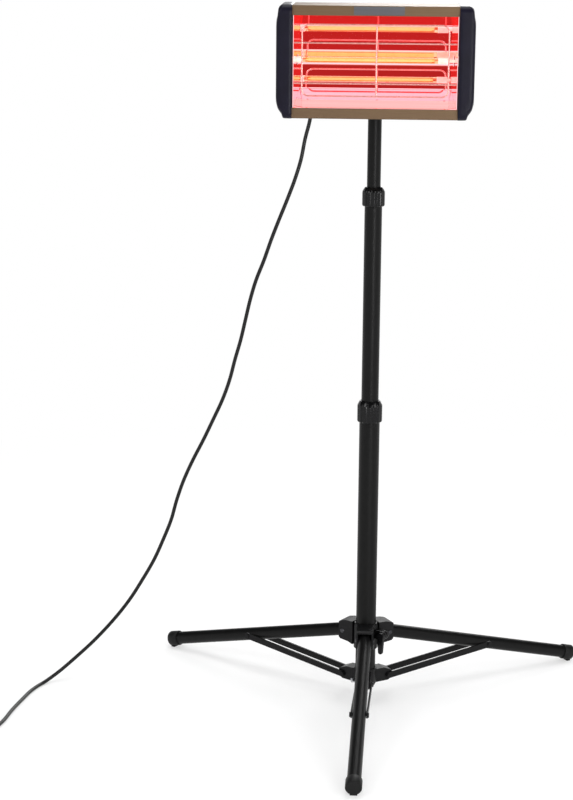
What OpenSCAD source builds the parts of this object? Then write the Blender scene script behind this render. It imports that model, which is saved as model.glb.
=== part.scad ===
// Infrared paint curing lamp: a heating head on a telescopic mast with a folding tripod.
// Millimetres, +Z up, floor at z = 0. The front of the head faces -Y.
// Every shape is drawn round the mast's axis; at_mast() then moves it so that the
// origin lies on the floor at the middle of the object's plan.

/* [Mast] */
// Outside diameter of the fixed outer tube
outer_tube_d = 38; // [36:1:40]
// Outside diameter of the sliding middle tube
mid_tube_d = 32; // [31:0.5:33]
// Outside diameter of the sliding top tube
top_tube_d = 25; // [24:0.5:26]
// Wall of the three tubes
tube_wall = 1.5; // [1.2:0.1:1.8]
// Height of the outer tube's upper end
outer_tube_top = 572; // [570:1:574]
// Height of the middle tube's upper end
mid_tube_top = 970; // [968:1:972]
// Height of the top tube's upper end
top_tube_top = 1106; // [1104:1:1108]
// Length of the middle tube
mid_tube_length = 520; // [500:5:540]
// Length of the top tube
top_tube_length = 486; // [460:2:500]

/* [Twist locks] */
// Height of the lower twist lock
lower_lock_h = 40.7; // [39:0.1:42]
// Radius of the lower twist lock
lower_lock_r = 23.4; // [23:0.1:24]
// Height of the upper twist lock
upper_lock_h = 35.5; // [34:0.1:37]
// Radius of the upper twist lock
upper_lock_r = 20.8; // [20.4:0.1:21.2]
// Number of grip flutes on a twist lock
lock_flutes = 14; // [8:1:20]

/* [Tripod] */
// Turn of the tripod about the mast
tripod_turn = -1.55; // [-3:0.05:3]
// Outside diameter of a leg
leg_d = 25; // [24:0.5:25]
// Slope of an open leg below the horizontal
leg_slope = 14.68; // [14:0.02:15]
// Slope of a folded leg below the horizontal
folded_slope = 86; // [84:0.5:87]
// Distance of a foot's tip from the mast's axis
foot_reach = 469; // [465:0.5:480]
// Distance of a leg's pivot from the mast's axis
leg_pivot_r = 44; // [43:0.5:45]
// Distance of the joint of leg and brace from the mast's axis
brace_joint_r = 268; // [264:1:272]
// Distance of a brace's inner pivot from the mast's axis
lug_pivot_r = 44; // [43:0.5:45]
// Height of a brace's inner pivot
lug_pivot_z = 38; // [37:0.5:39]
// Width of a brace bar
bar_w = 12; // [11:0.5:12.5]
// Thickness of a brace bar
bar_t = 3; // [2.5:0.1:3.2]
// Distance of a bar's inner face from the middle of its leg
bar_gap = 12.8; // [12.8:0.1:13.2]

/* [Head] */
// Width over the end caps
head_w = 342; // [336:1:348]
// Width of one end cap
cap_w = 27.5; // [26:0.5:29]
// Height of the housing
head_h = 193; // [190:1:196]
// Depth of the housing
head_depth = 112; // [108:1:116]
// Height of the head's middle
head_z = 1216; // [1214:1:1218]
// Distance of the housing's front plane from the mast's axis
head_front = 150; // [148:1:152]
// Height of the upper front bar
top_bar_h = 17; // [16:0.5:18]
// Height of the lower front bar
bottom_bar_h = 18; // [17:0.5:19]
// Wall of the housing
shell_wall = 2; // [1.6:0.1:2.4]
// Height of the tilt axis
tilt_z = 1130; // [1128:1:1132]
// Radius of the guard's wires
wire_r = 1.4; // [1.2:0.1:1.6]

/* [Lamp] */
// Length of the lamp's glass
glass_length = 237; // [230:1:240]
// Radius of the lamp's glass
glass_r = 5; // [4.5:0.1:5.5]
// Length of a ceramic end
ceramic_length = 19; // [18:0.5:20]
// Distance of the lamp from the mast's axis
lamp_y = 100; // [98:1:102]

/* [Cord] */
// Diameter of the cord
cord_d = 7; // [6.5:0.1:7.2]
// Turns that the coil takes on its way in, and again on its way out
coil_turns = 2.75; // [2.75:1:2.75]
// Radius of the coil's outermost turn
coil_r = 49; // [48:0.5:52]
// Distance from one turn to the next, sideways and upwards
coil_pitch = 7.6; // [7.5:0.1:8]

/* [Hidden] */
$fn = 48;
fit = 0.05;
AZ_FRONT = -90 + tripod_turn;
AZ_RIGHT = 30 + tripod_turn;
AZ_LEFT = 150 + tripod_turn;
AZ_LEVER = -30 + tripod_turn;
AZ_SCREW = -150 + tripod_turn;

// Radii of the tubes
outer_r = outer_tube_d / 2;
outer_in = outer_r - tube_wall;
mid_r = mid_tube_d / 2;
mid_in = mid_r - tube_wall;
top_r = top_tube_d / 2;
top_in = top_r - tube_wall;
leg_r = leg_d / 2;

// Heights along the mast
hub_floor_z = 19;
outer_tube_z = 24;
mid_tube_z = mid_tube_top - mid_tube_length;
top_tube_z = top_tube_top - top_tube_length;
lower_lock_z = 543.5;
upper_lock_z = 947.7;
flange_h = 4;
collet_length = 27;
mid_bush_h = 25;
top_bush_h = 20;

// Leg and brace linkage, open
leg_pivot_z = 126;
leg_length = (foot_reach - leg_pivot_r) / cos(leg_slope);
brace_joint_u = (brace_joint_r - leg_pivot_r) / cos(leg_slope);
brace_joint_z = leg_pivot_z - brace_joint_u * sin(leg_slope);
bar_length = norm([brace_joint_r - lug_pivot_r, brace_joint_z - lug_pivot_z]);
brace_slope = asin((brace_joint_z - lug_pivot_z) / bar_length);

// Leg and brace linkage, folded
folded_joint_r = leg_pivot_r + brace_joint_u * cos(folded_slope);
folded_brace = acos((folded_joint_r - lug_pivot_r) / bar_length);
hub_travel = lug_pivot_z + bar_length * sin(folded_brace)
    + brace_joint_u * sin(folded_slope) - leg_pivot_z;
leg_turn = folded_slope - leg_slope;
brace_turn = folded_brace - brace_slope + leg_turn;

// Upper hub, its channels and its clamp
hub_r = 23;
hub_z = 98;
hub_h = 50;
channel_w = 32;
channel_t = 3;
channel_r = 51.5;
leg_pin_r = 3;
brace_pin_r = 2.5;
rivet_r = 4.5;
rivet_h = 2;
ear_t = 6;
ear_h = 17;
clamp_r = 40;
clamp_z = 129.5;
clamp_pin_r = 3;
lever_head_r = 7.2;
lever_length = 34.5;

// Lower hub
lug_w = 24;
core_r = 21.5;
core_top = 54;
screw_z = 34;
screw_head_h = 7.5;

// Feet
foot_r = 14.8;
foot_length = 22;
sole_length = 8;
sole_w = 13;

// Plan of the open tripod, from which the origin is placed
tip_half = foot_r * sin(60 / 2);
plan_x_high = foot_reach * cos(AZ_RIGHT) + tip_half;
plan_x_low = foot_reach * cos(AZ_LEFT) - tip_half;
plan_y_high = foot_reach * sin(AZ_LEFT) + foot_r * cos(60 / 2);
plan_y_low = foot_reach * sin(AZ_FRONT);
mast_x = -(plan_x_high + plan_x_low) / 2;
mast_y = -(plan_y_high + plan_y_low) / 2;

// Head
shell_x = head_w / 2 - cap_w;
head_low = head_z - head_h / 2;
head_high = head_z + head_h / 2;
head_rear = head_front - head_depth;
cap_proud_front = 5;
cap_proud_rear = 2;
cap_proud_z = 1;
cap_wall = 2.5;
cap_inner_x = head_w / 2 - cap_wall;
window_low = head_low + bottom_bar_h;
window_high = head_high - top_bar_h;
plate_x = 141;
plate_t = 1;
end_slant = 10;
reflector_front = 147.5;
reflector_back = 46;
lamp_z = 1217;
lamp_hole = 9;
glass_x = -128;
pin_length = 10;
holder_w = 16;
holder_low = lamp_z - holder_w / 2;
terminal_z = 1150;
terminal_h = 22;
lead_r = 1.2;
lead_x = 156;
guard_y = 143;
guard_x = 126.5;
guard_low = 1158;
guard_high = 1280;
guard_corner_r = 12;
guard_wire_low = 1179.5;
guard_wire_high = 1248.6;

// Reflector facets, from the lower lip round the back to the upper lip, as [y, z]
reflector_t = 1;
FACETS = [
    [-147.5, window_low],
    [-72, 1163],
    [-48, 1211],
    [-46, 1228],
    [-75, 1277],
    [-147.5, window_high]
];

// Tilt joint and swivel
boss_w = 36;
boss_r = 13;
bracket_t = 3;
ear_x = boss_w / 2 + 0.4;
tilt_pin_r = 4;
knob_r = 13;
knob_h = 15;
spigot_length = 26;
thumb_r = 8.5;
thumb_z = 1092;
thumb_h = 14;

// Rocker switch
switch_x = 100;
switch_z = 1150;
rocker_w = 15.6;
rocker_pivot_y = -42;
rocker_turn = 8;
rocker_reach = 11.9;

// Gland
gland_x = -112;
gland_z = 1150;
gland_length = 32;

// Label
label_x = 5.5;
label_w = 87;
label_h = 14.4;
label_t = 0.6;

// Free run of the cord, from the gland to the coil, as points of the cord's middle
cord_r = cord_d / 2;
ROUTE = [
    [-112, -13, 1150],
    [-112, -6, 1150],
    [-112, 1, 1150],
    [-112, 12, 1147],
    [-113, 21, 1138],
    [-115, 26, 1122],
    [-119, 28, 1096],
    [-127, 28, 1064],
    [-134, 28, 1027],
    [-145, 28, 990],
    [-159, 29, 952],
    [-174, 30, 914],
    [-188, 32, 877],
    [-201, 34, 839],
    [-216, 37, 800],
    [-227, 40, 762],
    [-236, 43, 723],
    [-245, 46, 684],
    [-256, 48, 645],
    [-266, 51, 606],
    [-280, 54, 566],
    [-298, 56, 526],
    [-317, 58, 485],
    [-337, 60, 445],
    [-355, 62, 404],
    [-369, 64, 363],
    [-380, 65, 323],
    [-396, 65, 282],
    [-414, 66, 241],
    [-437, 64, 200],
    [-463, 63, 158],
    [-494, 58, 118],
    [-531, 50, 78],
    [-570, 41, 42],
    [-600, 32, 17],
    [-624, 10, 4],
    [-641, -31, 3.5],
    [-652, -83, 3.5],
    [-661, -134, 3.5],
    [-667, -183, 3.5],
    [-674, -213, 3.8],
    [-682, -232, 4.4],
    [-686, -246, 4.9],
    [-686, -255, 4.9],
    [-686, -264, 4.9]
];
route_last = len(ROUTE) - 2;
ROUTE_END = ROUTE[route_last];
// Route points at which the run passes from one moving part's share to the next
head_cut = 8;
swivel_cut = 13;
top_cut = 19;
mid_cut = 30;
cord_sides = 8;
cord_rings_per_point = 2;

// Coil beside the stand
coil_sides = 6;
coil_steps = 24;
coil_low_z = 4.9;
coil_x = ROUTE_END[0] - coil_r;
coil_y = ROUTE_END[1] - 2 * cord_d;
coil_in = coil_r - coil_turns * coil_pitch;
coil_high_z = coil_low_z + coil_pitch;
coil_all = 2 * coil_turns;
tie_t = 1.1;
tie_w = 9;
tie_angle = 70;

// Plug
plug_x = coil_x - coil_r;
plug_y = coil_y + 70;
plug_z = 18.5;
plug_face_r = 18.5;
plug_length = 56;
prong_r = 2.4;
prong_length = 19;
prong_spacing = 19;
prong_tang_r = 2;
prong_tang_length = 12;
prong_neck = 0.5;

echo(hub_travel = hub_travel, leg_turn = leg_turn, brace_turn = brace_turn);
echo(mast_x = mast_x, mast_y = mast_y, brace_joint_z = brace_joint_z);
echo(brace_slope = brace_slope, folded_brace = folded_brace, leg_length = leg_length);

// Placing helpers

module at_mast() {
    translate([mast_x, mast_y, 0]) children();
}

// Leg frame: X runs down the leg from its pivot, Y across it
module at_leg(azimuth) {
    at_mast() rotate([0, 0, azimuth]) translate([leg_pivot_r, 0, leg_pivot_z])
        rotate([0, leg_slope, 0]) children();
}

// Brace frame: X runs outwards along the bars from the lower hub's lug
module at_brace(azimuth) {
    at_mast() rotate([0, 0, azimuth]) translate([lug_pivot_r, 0, lug_pivot_z])
        rotate([0, -brace_slope, 0]) children();
}

module along_x() {
    rotate([0, 90, 0]) children();
}

// A cylinder across Y, centred
module cross_y(r, h) {
    rotate([90, 0, 0]) cylinder(r = r, h = h, center = true);
}

// A profile drawn in [radius or y, height], extruded across and centred
module profile_y(w) {
    rotate([90, 0, 0]) linear_extrude(w, center = true) children();
}

// A profile drawn in [y, z], extruded along X from x0
module profile_x(x0, w) {
    translate([x0, 0, 0]) rotate([90, 0, 90]) linear_extrude(w) children();
}

module pipe(r_out, r_in, z0, z1) {
    translate([0, 0, z0]) difference() {
        cylinder(r = r_out, h = z1 - z0);
        translate([0, 0, -1]) cylinder(r = r_in, h = z1 - z0 + 2);
    }
}

module rounded_rect(low, high, r) {
    translate([low[0] + r, low[1]]) square([high[0] - low[0] - 2 * r, high[1] - low[1]]);
    translate([low[0], low[1] + r]) square([high[0] - low[0], high[1] - low[1] - 2 * r]);
    for (x = [low[0] + r, high[0] - r], y = [low[1] + r, high[1] - r])
        translate([x, y]) circle(r = r);
}

// Mast

module outer_tube() {
    color("#242425") at_mast() pipe(outer_r, outer_in, outer_tube_z, outer_tube_top);
}

module mid_tube() {
    color("#242425") at_mast() pipe(mid_r, mid_in, mid_tube_z, mid_tube_top);
}

module top_tube() {
    color("#242425") at_mast() difference() {
        pipe(top_r, top_in, top_tube_z, top_tube_top);
        translate([0, 0, thumb_z]) rotate([-90, 0, 0]) cylinder(r = 3.05, h = 2 * top_r);
    }
}

// A split plastic sleeve in the mouth of a tube, with a flange on its rim
module collet(bore_r, sleeve_r, flange_r, rim_z, sleeve_h) {
    rotate_extrude() polygon([
        [bore_r, rim_z - sleeve_h], [sleeve_r, rim_z - sleeve_h], [sleeve_r, rim_z],
        [flange_r, rim_z], [flange_r, rim_z + flange_h], [bore_r, rim_z + flange_h]
    ]);
}

module lower_collet() {
    color("#1a1a1b") at_mast()
        collet(mid_r + fit, outer_in - 0.02, outer_r - 0.1, outer_tube_top, collet_length);
}

module upper_collet() {
    color("#1a1a1b") at_mast()
        collet(top_r + fit, mid_in - 0.02, mid_r - 0.1, mid_tube_top, collet_length);
}

module mid_bush() {
    color("#1a1a1b") at_mast()
        pipe(outer_in - fit, mid_r + 0.02, mid_tube_z, mid_tube_z + mid_bush_h);
}

module top_bush() {
    color("#1a1a1b") at_mast()
        pipe(mid_in - fit, top_r + 0.02, top_tube_z, top_tube_z + top_bush_h);
}

// A fluted ring over the joint of two tubes: full below, with a sloped shoulder on top
module twist_lock(r, z0, h, lower_r, upper_r, rim_z) {
    shoulder_h = 9;
    chamfer = 2.5;
    flute_r = 2;
    step_z = rim_z + flange_h + 0.3;
    difference() {
        rotate_extrude() polygon([
            [lower_r + 0.1, z0], [r - chamfer, z0], [r, z0 + chamfer],
            [r, z0 + h - shoulder_h], [r - 1.6, z0 + h - shoulder_h + 3],
            [upper_r + 2.5, z0 + h], [upper_r + 0.4, z0 + h],
            [upper_r + 0.4, step_z], [lower_r + 0.1, step_z]
        ]);
        for (i = [0 : lock_flutes - 1])
            rotate([0, 0, i * 360 / lock_flutes]) translate([r + flute_r * 0.6, 0, z0 - 1])
                cylinder(r = flute_r, h = h - shoulder_h + 1, $fn = 16);
    }
}

module lower_lock() {
    color("#1d1d1e") at_mast()
        twist_lock(lower_lock_r, lower_lock_z, lower_lock_h, outer_r, mid_r, outer_tube_top);
}

module upper_lock() {
    color("#1d1d1e") at_mast()
        twist_lock(upper_lock_r, upper_lock_z, upper_lock_h, mid_r, top_r, mid_tube_top);
}

// Lower hub

module lug() {
    profile_y(lug_w) polygon([
        [outer_r - 3, core_top], [36, core_top], [52, 47], [52, 33], [44, 28],
        [outer_r - 3, 27]
    ]);
}

module lower_hub() {
    color("#1c1c1d") at_mast() difference() {
        union() {
            rotate_extrude() polygon([
                [0, hub_floor_z], [12, hub_floor_z], [18, hub_floor_z + 2.5],
                [core_r, hub_floor_z + 9], [core_r, core_top + 2],
                [core_r - 1, core_top + 4], [0, core_top + 4]
            ]);
            for (azimuth = [AZ_FRONT, AZ_RIGHT, AZ_LEFT])
                rotate([0, 0, azimuth]) lug();
        }
        translate([0, 0, outer_tube_z]) cylinder(r = outer_r + 0.02, h = 100);
        rotate([0, 0, AZ_SCREW]) translate([0, 0, screw_z]) along_x()
            cylinder(r = 2.52, h = 40);
    }
}

module lower_hub_screw() {
    color("#b9bcc0") at_mast() rotate([0, 0, AZ_SCREW]) translate([0, 0, screw_z])
        along_x() {
            translate([0, 0, outer_r + 0.1]) cylinder(r = 2.5, h = core_r - outer_r);
            translate([0, 0, core_r + 0.02]) cylinder(r = 4.2, h = screw_head_h);
        }
}

// Upper hub: a clamp sleeve with three channels that hold the legs

module channel_profile() {
    polygon([
        [outer_r + 1.5, 149], [36, 149], [47, 146.5], [channel_r, 143.8],
        [channel_r, 113], [48, 109.5], [30, 107], [outer_r + 1.5, hub_z + 5]
    ]);
}

module channel_space() {
    polygon([
        [hub_r + 1, 146], [35.5, 146], [46, 143.6], [channel_r + 1, 140.4],
        [channel_r + 1, 90], [hub_r + 1, 90]
    ]);
}

module clamp_ears() {
    round_x = clamp_r - 1;
    rotate([0, 0, AZ_LEVER]) translate([0, 0, clamp_z]) profile_y(2 * ear_t) {
        translate([outer_r, -ear_h / 2]) square([round_x - outer_r, ear_h]);
        translate([round_x, 0]) circle(r = ear_h / 2);
    }
}

module upper_hub() {
    color("#1c1c1d") at_mast() difference() {
        union() {
            rotate_extrude() polygon([
                [outer_r, hub_z], [hub_r - 1, hub_z], [hub_r, hub_z + 1],
                [hub_r, hub_z + hub_h - 4], [hub_r - 1.5, hub_z + hub_h],
                [outer_r, hub_z + hub_h]
            ]);
            for (azimuth = [AZ_FRONT, AZ_RIGHT, AZ_LEFT])
                rotate([0, 0, azimuth]) profile_y(channel_w) channel_profile();
            clamp_ears();
        }
        translate([0, 0, hub_z - 1]) cylinder(r = outer_r + fit, h = hub_h + 2);
        for (azimuth = [AZ_FRONT, AZ_RIGHT, AZ_LEFT])
            rotate([0, 0, azimuth]) {
                profile_y(2 * bar_gap) channel_space();
                translate([leg_pivot_r, 0, leg_pivot_z]) cross_y(leg_pin_r + 0.02, 50);
            }
        rotate([0, 0, AZ_LEVER]) {
            translate([outer_r - 4, -1, hub_z - 1]) cube([40, 2, hub_h + 2]);
            translate([clamp_r, 0, clamp_z]) cross_y(clamp_pin_r + fit, 60);
        }
    }
}

module leg_pin(azimuth) {
    color("#a9abae") at_mast() rotate([0, 0, azimuth])
        translate([leg_pivot_r, 0, leg_pivot_z]) {
            cross_y(leg_pin_r, channel_w + 2 * rivet_h);
            for (side = [-1, 1])
                translate([0, side * (channel_w / 2 + rivet_h / 2 + 0.02), 0])
                    cross_y(rivet_r, rivet_h);
        }
}

module leg_pin_front() {
    leg_pin(AZ_FRONT);
}

module leg_pin_right() {
    leg_pin(AZ_RIGHT);
}

module leg_pin_left() {
    leg_pin(AZ_LEFT);
}

// Clamp lever: a stud through the ears, a round head and a blade that hangs down
module hub_lever() {
    head_t = 7.5;
    head_y = -ear_t - 0.3 - head_t / 2;
    nut_t = 5;
    color("#19191a") at_mast() rotate([0, 0, AZ_LEVER]) translate([clamp_r, 0, clamp_z]) {
        translate([0, (nut_t - head_t) / 2, 0])
            cross_y(clamp_pin_r, 2 * ear_t + 0.6 + head_t + nut_t);
        translate([0, head_y, 0]) cross_y(lever_head_r, head_t);
        translate([0, ear_t + 0.3 + nut_t / 2, 0]) cross_y(6, nut_t);
        translate([0, head_y, 0]) profile_y(head_t - 2) polygon([
            [-6.5, 0], [6.5, 0], [4.2, -lever_length + 3], [2.4, -lever_length],
            [-2.4, -lever_length], [-4.2, -lever_length + 3]
        ]);
    }
}

// Legs, feet and braces

module leg(azimuth) {
    inner_end = 9;
    color("#242425") at_leg(azimuth) difference() {
        translate([-inner_end, 0, 0]) along_x()
            cylinder(r = leg_r, h = leg_length - 6 + inner_end);
        translate([-inner_end - 1, 0, 0]) along_x()
            cylinder(r = leg_r - tube_wall, h = leg_length + inner_end);
        cross_y(leg_pin_r + fit, leg_d + 2);
        translate([brace_joint_u, 0, 0]) cross_y(brace_pin_r + fit, leg_d + 2);
    }
}

module leg_front() {
    leg(AZ_FRONT);
}

module leg_right() {
    leg(AZ_RIGHT);
}

module leg_left() {
    leg(AZ_LEFT);
}

// A cap over the leg's end with a flat sole under its tip
module foot(azimuth) {
    start = leg_length - foot_length;
    color("#161617") difference() {
        at_leg(azimuth) {
            translate([start, 0, 0]) along_x() rotate_extrude() polygon([
                [leg_r + 0.02, 0], [foot_r - 0.8, 0], [foot_r, 1],
                [foot_r, foot_length - 2], [foot_r - 0.7, foot_length - 0.7],
                [foot_r - 2.5, foot_length], [0, foot_length],
                [0, foot_length - 5.95], [leg_r + 0.02, foot_length - 5.95]
            ]);
            translate([leg_length - sole_length, -sole_w / 2, -foot_r - 5])
                cube([sole_length - 0.5, sole_w, 6]);
        }
        translate([-1000, -1000, -100]) cube([2000, 2000, 100]);
    }
}

module foot_front() {
    foot(AZ_FRONT);
}

module foot_right() {
    foot(AZ_RIGHT);
}

module foot_left() {
    foot(AZ_LEFT);
}

// Two flat bars joined by the rivet on which they swing
module brace(azimuth) {
    color("#202021") at_brace(azimuth) {
        for (side = [-1, 1]) {
            translate([0, side * (bar_gap + bar_t / 2), 0]) profile_y(bar_t) {
                translate([0, -bar_w / 2]) square([bar_length, bar_w]);
                circle(r = bar_w / 2);
                translate([bar_length, 0]) circle(r = bar_w / 2);
            }
            for (u = [0, bar_length])
                translate([u, side * (bar_gap + bar_t + rivet_h / 2), 0])
                    cross_y(rivet_r, rivet_h);
        }
        translate([bar_length, 0, 0]) cross_y(brace_pin_r, 2 * bar_gap + bar_t);
    }
}

module brace_front() {
    brace(AZ_FRONT);
}

module brace_right() {
    brace(AZ_RIGHT);
}

module brace_left() {
    brace(AZ_LEFT);
}

// Swivel on the top tube and tilt joint behind the head

module swivel_boss() {
    color("#1c1c1d") at_mast() difference() {
        union() {
            translate([0, 0, top_tube_top - spigot_length])
                cylinder(r = top_in - fit, h = spigot_length + 1);
            translate([0, 0, top_tube_top + 0.05]) cylinder(r = boss_r, h = 5);
            translate([-boss_w / 2, -boss_r + 3, top_tube_top + 5])
                cube([boss_w, 2 * boss_r - 6, tilt_z - top_tube_top - 5]);
            translate([0, 0, tilt_z]) along_x()
                cylinder(r = boss_r, h = boss_w, center = true);
        }
        translate([0, 0, tilt_z]) along_x()
            cylinder(r = tilt_pin_r + fit, h = boss_w + 2, center = true);
        }
}

// Thumb screw that locks the swivel, behind the top tube
module swivel_screw() {
    color("#1b1b1c") at_mast() translate([0, 0, thumb_z]) rotate([-90, 0, 0]) {
        translate([0, 0, top_in + fit]) cylinder(r = 3, h = 6);
        difference() {
            translate([0, 0, top_r + 2]) cylinder(r = thumb_r, h = thumb_h);
            for (i = [0 : 9])
                rotate([0, 0, i * 36]) translate([thumb_r + 0.8, 0, top_r])
                    cylinder(r = 1.8, h = thumb_h + 4, $fn = 16);
        }
    }
}

// Folded steel bracket on the rear of the head, with an ear on each side of the boss
module tilt_bracket() {
    base_w = 2 * (ear_x + bracket_t);
    color("#232324") at_mast() difference() {
        union() {
            translate([-base_w / 2, -head_rear, 1121]) cube([base_w, bracket_t, 44]);
            for (x = [-ear_x - bracket_t, ear_x]) {
                translate([x, -head_rear, tilt_z - 9]) cube([bracket_t, head_rear, 22]);
                translate([x, 0, tilt_z]) along_x() cylinder(r = boss_r, h = bracket_t);
            }
        }
        translate([0, 0, tilt_z]) along_x()
            cylinder(r = tilt_pin_r + 0.02, h = base_w + 2, center = true);
    }
}

module tilt_pin() {
    out_x = ear_x + bracket_t;
    color("#a4a6a9") at_mast() translate([0, 0, tilt_z]) along_x() {
        translate([0, 0, -out_x - 4.5]) cylinder(r = 7, h = 4.45);
        translate([0, 0, -out_x - 1]) cylinder(r = tilt_pin_r, h = 2 * out_x + 12);
    }
}

module tilt_knob() {
    out_x = ear_x + bracket_t + 0.5;
    color("#1b1b1c") at_mast() translate([out_x, 0, tilt_z]) along_x() difference() {
        cylinder(r = knob_r, h = knob_h);
        translate([0, 0, -1]) cylinder(r = tilt_pin_r + fit, h = 12.5);
        for (i = [0 : 5])
            rotate([0, 0, i * 60 + 30]) translate([knob_r + 2.4, 0, -1])
                cylinder(r = 4.6, h = knob_h + 2, $fn = 24);
    }
}

// Housing: one folded channel, open at the front between its two bars
module head_shell() {
    x0 = -shell_x;
    color("#8a7059") at_mast() difference() {
        profile_x(x0, 2 * shell_x)
            rounded_rect([-head_front, head_low], [-head_rear, head_high], 1.2);
        profile_x(x0 - 1, 2 * shell_x + 2)
            rounded_rect([-head_front + shell_wall, head_low + shell_wall],
                [-head_rear - shell_wall, head_high - shell_wall], 0.6);
        translate([x0 - 1, -head_front - 1, window_low])
            cube([2 * shell_x + 2, shell_wall + 2, window_high - window_low]);
        translate([switch_x - 9.6, -head_rear - 5, switch_z - 13.6])
            cube([19.2, 10, 27.2]);
        translate([gland_x, -head_rear - 5, gland_z]) rotate([-90, 0, 0])
            cylinder(r = 6.02, h = 10);
    }
}

// Front outline of the right cap, in [x, z]
module cap_outline(inset) {
    inner_x = shell_x + inset;
    outer_x = head_w / 2 - inset;
    low = head_low - cap_proud_z + inset;
    high = head_high + cap_proud_z - inset;
    polygon([
        [inner_x, low], [outer_x - 12, low], [outer_x - 10, low + 8], [outer_x - 3, low + 17],
        [outer_x, low + 28], [outer_x, high - 25], [outer_x - 3, high - 19],
        [outer_x - 3, high - 8], [outer_x - 5.5, high - 3], [outer_x - 11, high], [inner_x, high]
    ]);
}

module cap_solid(inset) {
    front = head_front + cap_proud_front - inset;
    rear = head_rear - cap_proud_rear + inset;
    low = head_low - cap_proud_z + inset;
    high = head_high + cap_proud_z - inset;
    intersection() {
        translate([0, -(front + rear) / 2, 0]) profile_y(front - rear) cap_outline(inset);
        profile_x(shell_x - 1, cap_w + 2)
            rounded_rect([-front, low], [-rear, high], 12 - inset);
    }
}

// Hollow end cap with a window towards the lamp's end
module end_cap() {
    difference() {
        cap_solid(0);
        cap_solid(cap_wall);
        translate([shell_x - 1, -lamp_y - 24, lamp_z - 24]) cube([cap_wall + 2, 48, 48]);
        translate([shell_x - 1, -lamp_y - 7, head_low + 4]) cube([cap_wall + 2, 14, 12]);
    }
}

module end_cap_left() {
    color("#211f2b") at_mast() mirror([1, 0, 0]) end_cap();
}

module end_cap_right() {
    color("#211f2b") at_mast() end_cap();
}

// A point of the facets pushed out by the sheet's thickness
function facet_dir(i) = (FACETS[i + 1] - FACETS[i]) / norm(FACETS[i + 1] - FACETS[i]);
function facet_out(i) = [facet_dir(i)[1], -facet_dir(i)[0]];
function mitre(a, b) = (a + b) / (1 + a * b);
function facet_pushed(i) =
    let (last = len(FACETS) - 1)
    let (before = facet_out(max(i - 1, 0)))
    let (after = facet_out(min(i, last - 1)))
    FACETS[i] + reflector_t * mitre(before, after);

// Half the width between the slanted end plates, at a distance in front of the mast
function reflector_half(distance) = plate_x
    - end_slant * (reflector_front - distance) / (reflector_front - reflector_back);

// A block between two slanted planes, standing through the head's whole height
module between_slants(left_side, left_gap, right_side, right_gap) {
    front = reflector_front + 3;
    back = reflector_back - 3;
    translate([0, 0, head_low]) linear_extrude(head_h) polygon([
        [left_side * (reflector_half(front) + left_gap), -front],
        [right_side * (reflector_half(front) + right_gap), -front],
        [right_side * (reflector_half(back) + right_gap), -back],
        [left_side * (reflector_half(back) + left_gap), -back]
    ]);
}

module reflector() {
    last = len(FACETS) - 1;
    inner = FACETS;
    outer = [for (i = [last : -1 : 0]) facet_pushed(i)];
    color("#d8d2cc") at_mast() intersection() {
        profile_x(-plate_x - 2, 2 * plate_x + 4) polygon(concat(inner, outer));
        between_slants(-1, 0, 1, 0);
    }
}

module reflector_end(side) {
    color("#d8d2cc") at_mast() difference() {
        intersection() {
            profile_x(-plate_x - 4, 2 * plate_x + 8) polygon(FACETS);
            if (side > 0) between_slants(1, 0.02, 1, 0.02 + plate_t);
            else between_slants(-1, 0.02 + plate_t, -1, 0.02);
        }
        translate([side > 0 ? 100 : -200, -lamp_y - lamp_hole, lamp_z - lamp_hole])
            cube([100, 2 * lamp_hole, 2 * lamp_hole]);
    }
}

module reflector_end_left() {
    reflector_end(-1);
}

module reflector_end_right() {
    reflector_end(1);
}

// Wire guard: a rounded frame, one upright and two long wires that reach the end plates
module guard() {
    r = guard_corner_r;
    wire_half = reflector_half(guard_y - wire_r);
    color("#d9d4cf") at_mast() translate([0, -guard_y, 0]) {
        for (z = [guard_low, guard_high])
            translate([-guard_x + r, 0, z]) along_x()
                cylinder(r = wire_r, h = 2 * (guard_x - r), $fn = 16);
        for (x = [-guard_x, guard_x])
            translate([x, 0, guard_low + r])
                cylinder(r = wire_r, h = guard_high - guard_low - 2 * r, $fn = 16);
        for (corner = [[1, 1, 0], [-1, 1, 90], [-1, -1, 180], [1, -1, 270]])
            translate([corner[0] * (guard_x - r), 0,
                (guard_low + guard_high) / 2
                + corner[1] * ((guard_high - guard_low) / 2 - r)])
                rotate([90, 0, 0]) rotate([0, 0, corner[2]])
                    rotate_extrude(angle = 90, $fn = 48) translate([r, 0])
                        circle(r = wire_r, $fn = 16);
        for (z = [guard_wire_low, guard_wire_high])
            translate([-wire_half, 0, z]) along_x()
                cylinder(r = wire_r, h = 2 * wire_half, $fn = 16);
        translate([2, 0, guard_low])
            cylinder(r = wire_r, h = guard_high - guard_low, $fn = 16);
    }
}

// Lamp and its holders

module at_lamp() {
    at_mast() translate([glass_x, -lamp_y, lamp_z]) along_x() children();
}

module lamp_glass() {
    color("#ffe0a8") at_lamp() difference() {
        translate([0, 0, 0.02]) cylinder(r = glass_r, h = glass_length - 0.04);
        translate([0, 0, 6]) cylinder(r = glass_r - 1, h = glass_length - 12);
    }
}

module lamp_filament() {
    color("#ffb050") at_lamp() translate([0, 0, 6.02])
        cylinder(r = 1.3, h = glass_length - 12.04);
}

module lamp_end(start, pin_start) {
    color("#e9dfcf") at_lamp() {
        translate([0, 0, start]) cylinder(r = 5.6, h = ceramic_length);
        translate([0, 0, pin_start]) cylinder(r = 2.4, h = pin_length + 1);
    }
}

module lamp_end_left() {
    lamp_end(-ceramic_length, -ceramic_length - pin_length);
}

module lamp_end_right() {
    lamp_end(glass_length, glass_length + ceramic_length - 1);
}

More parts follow.
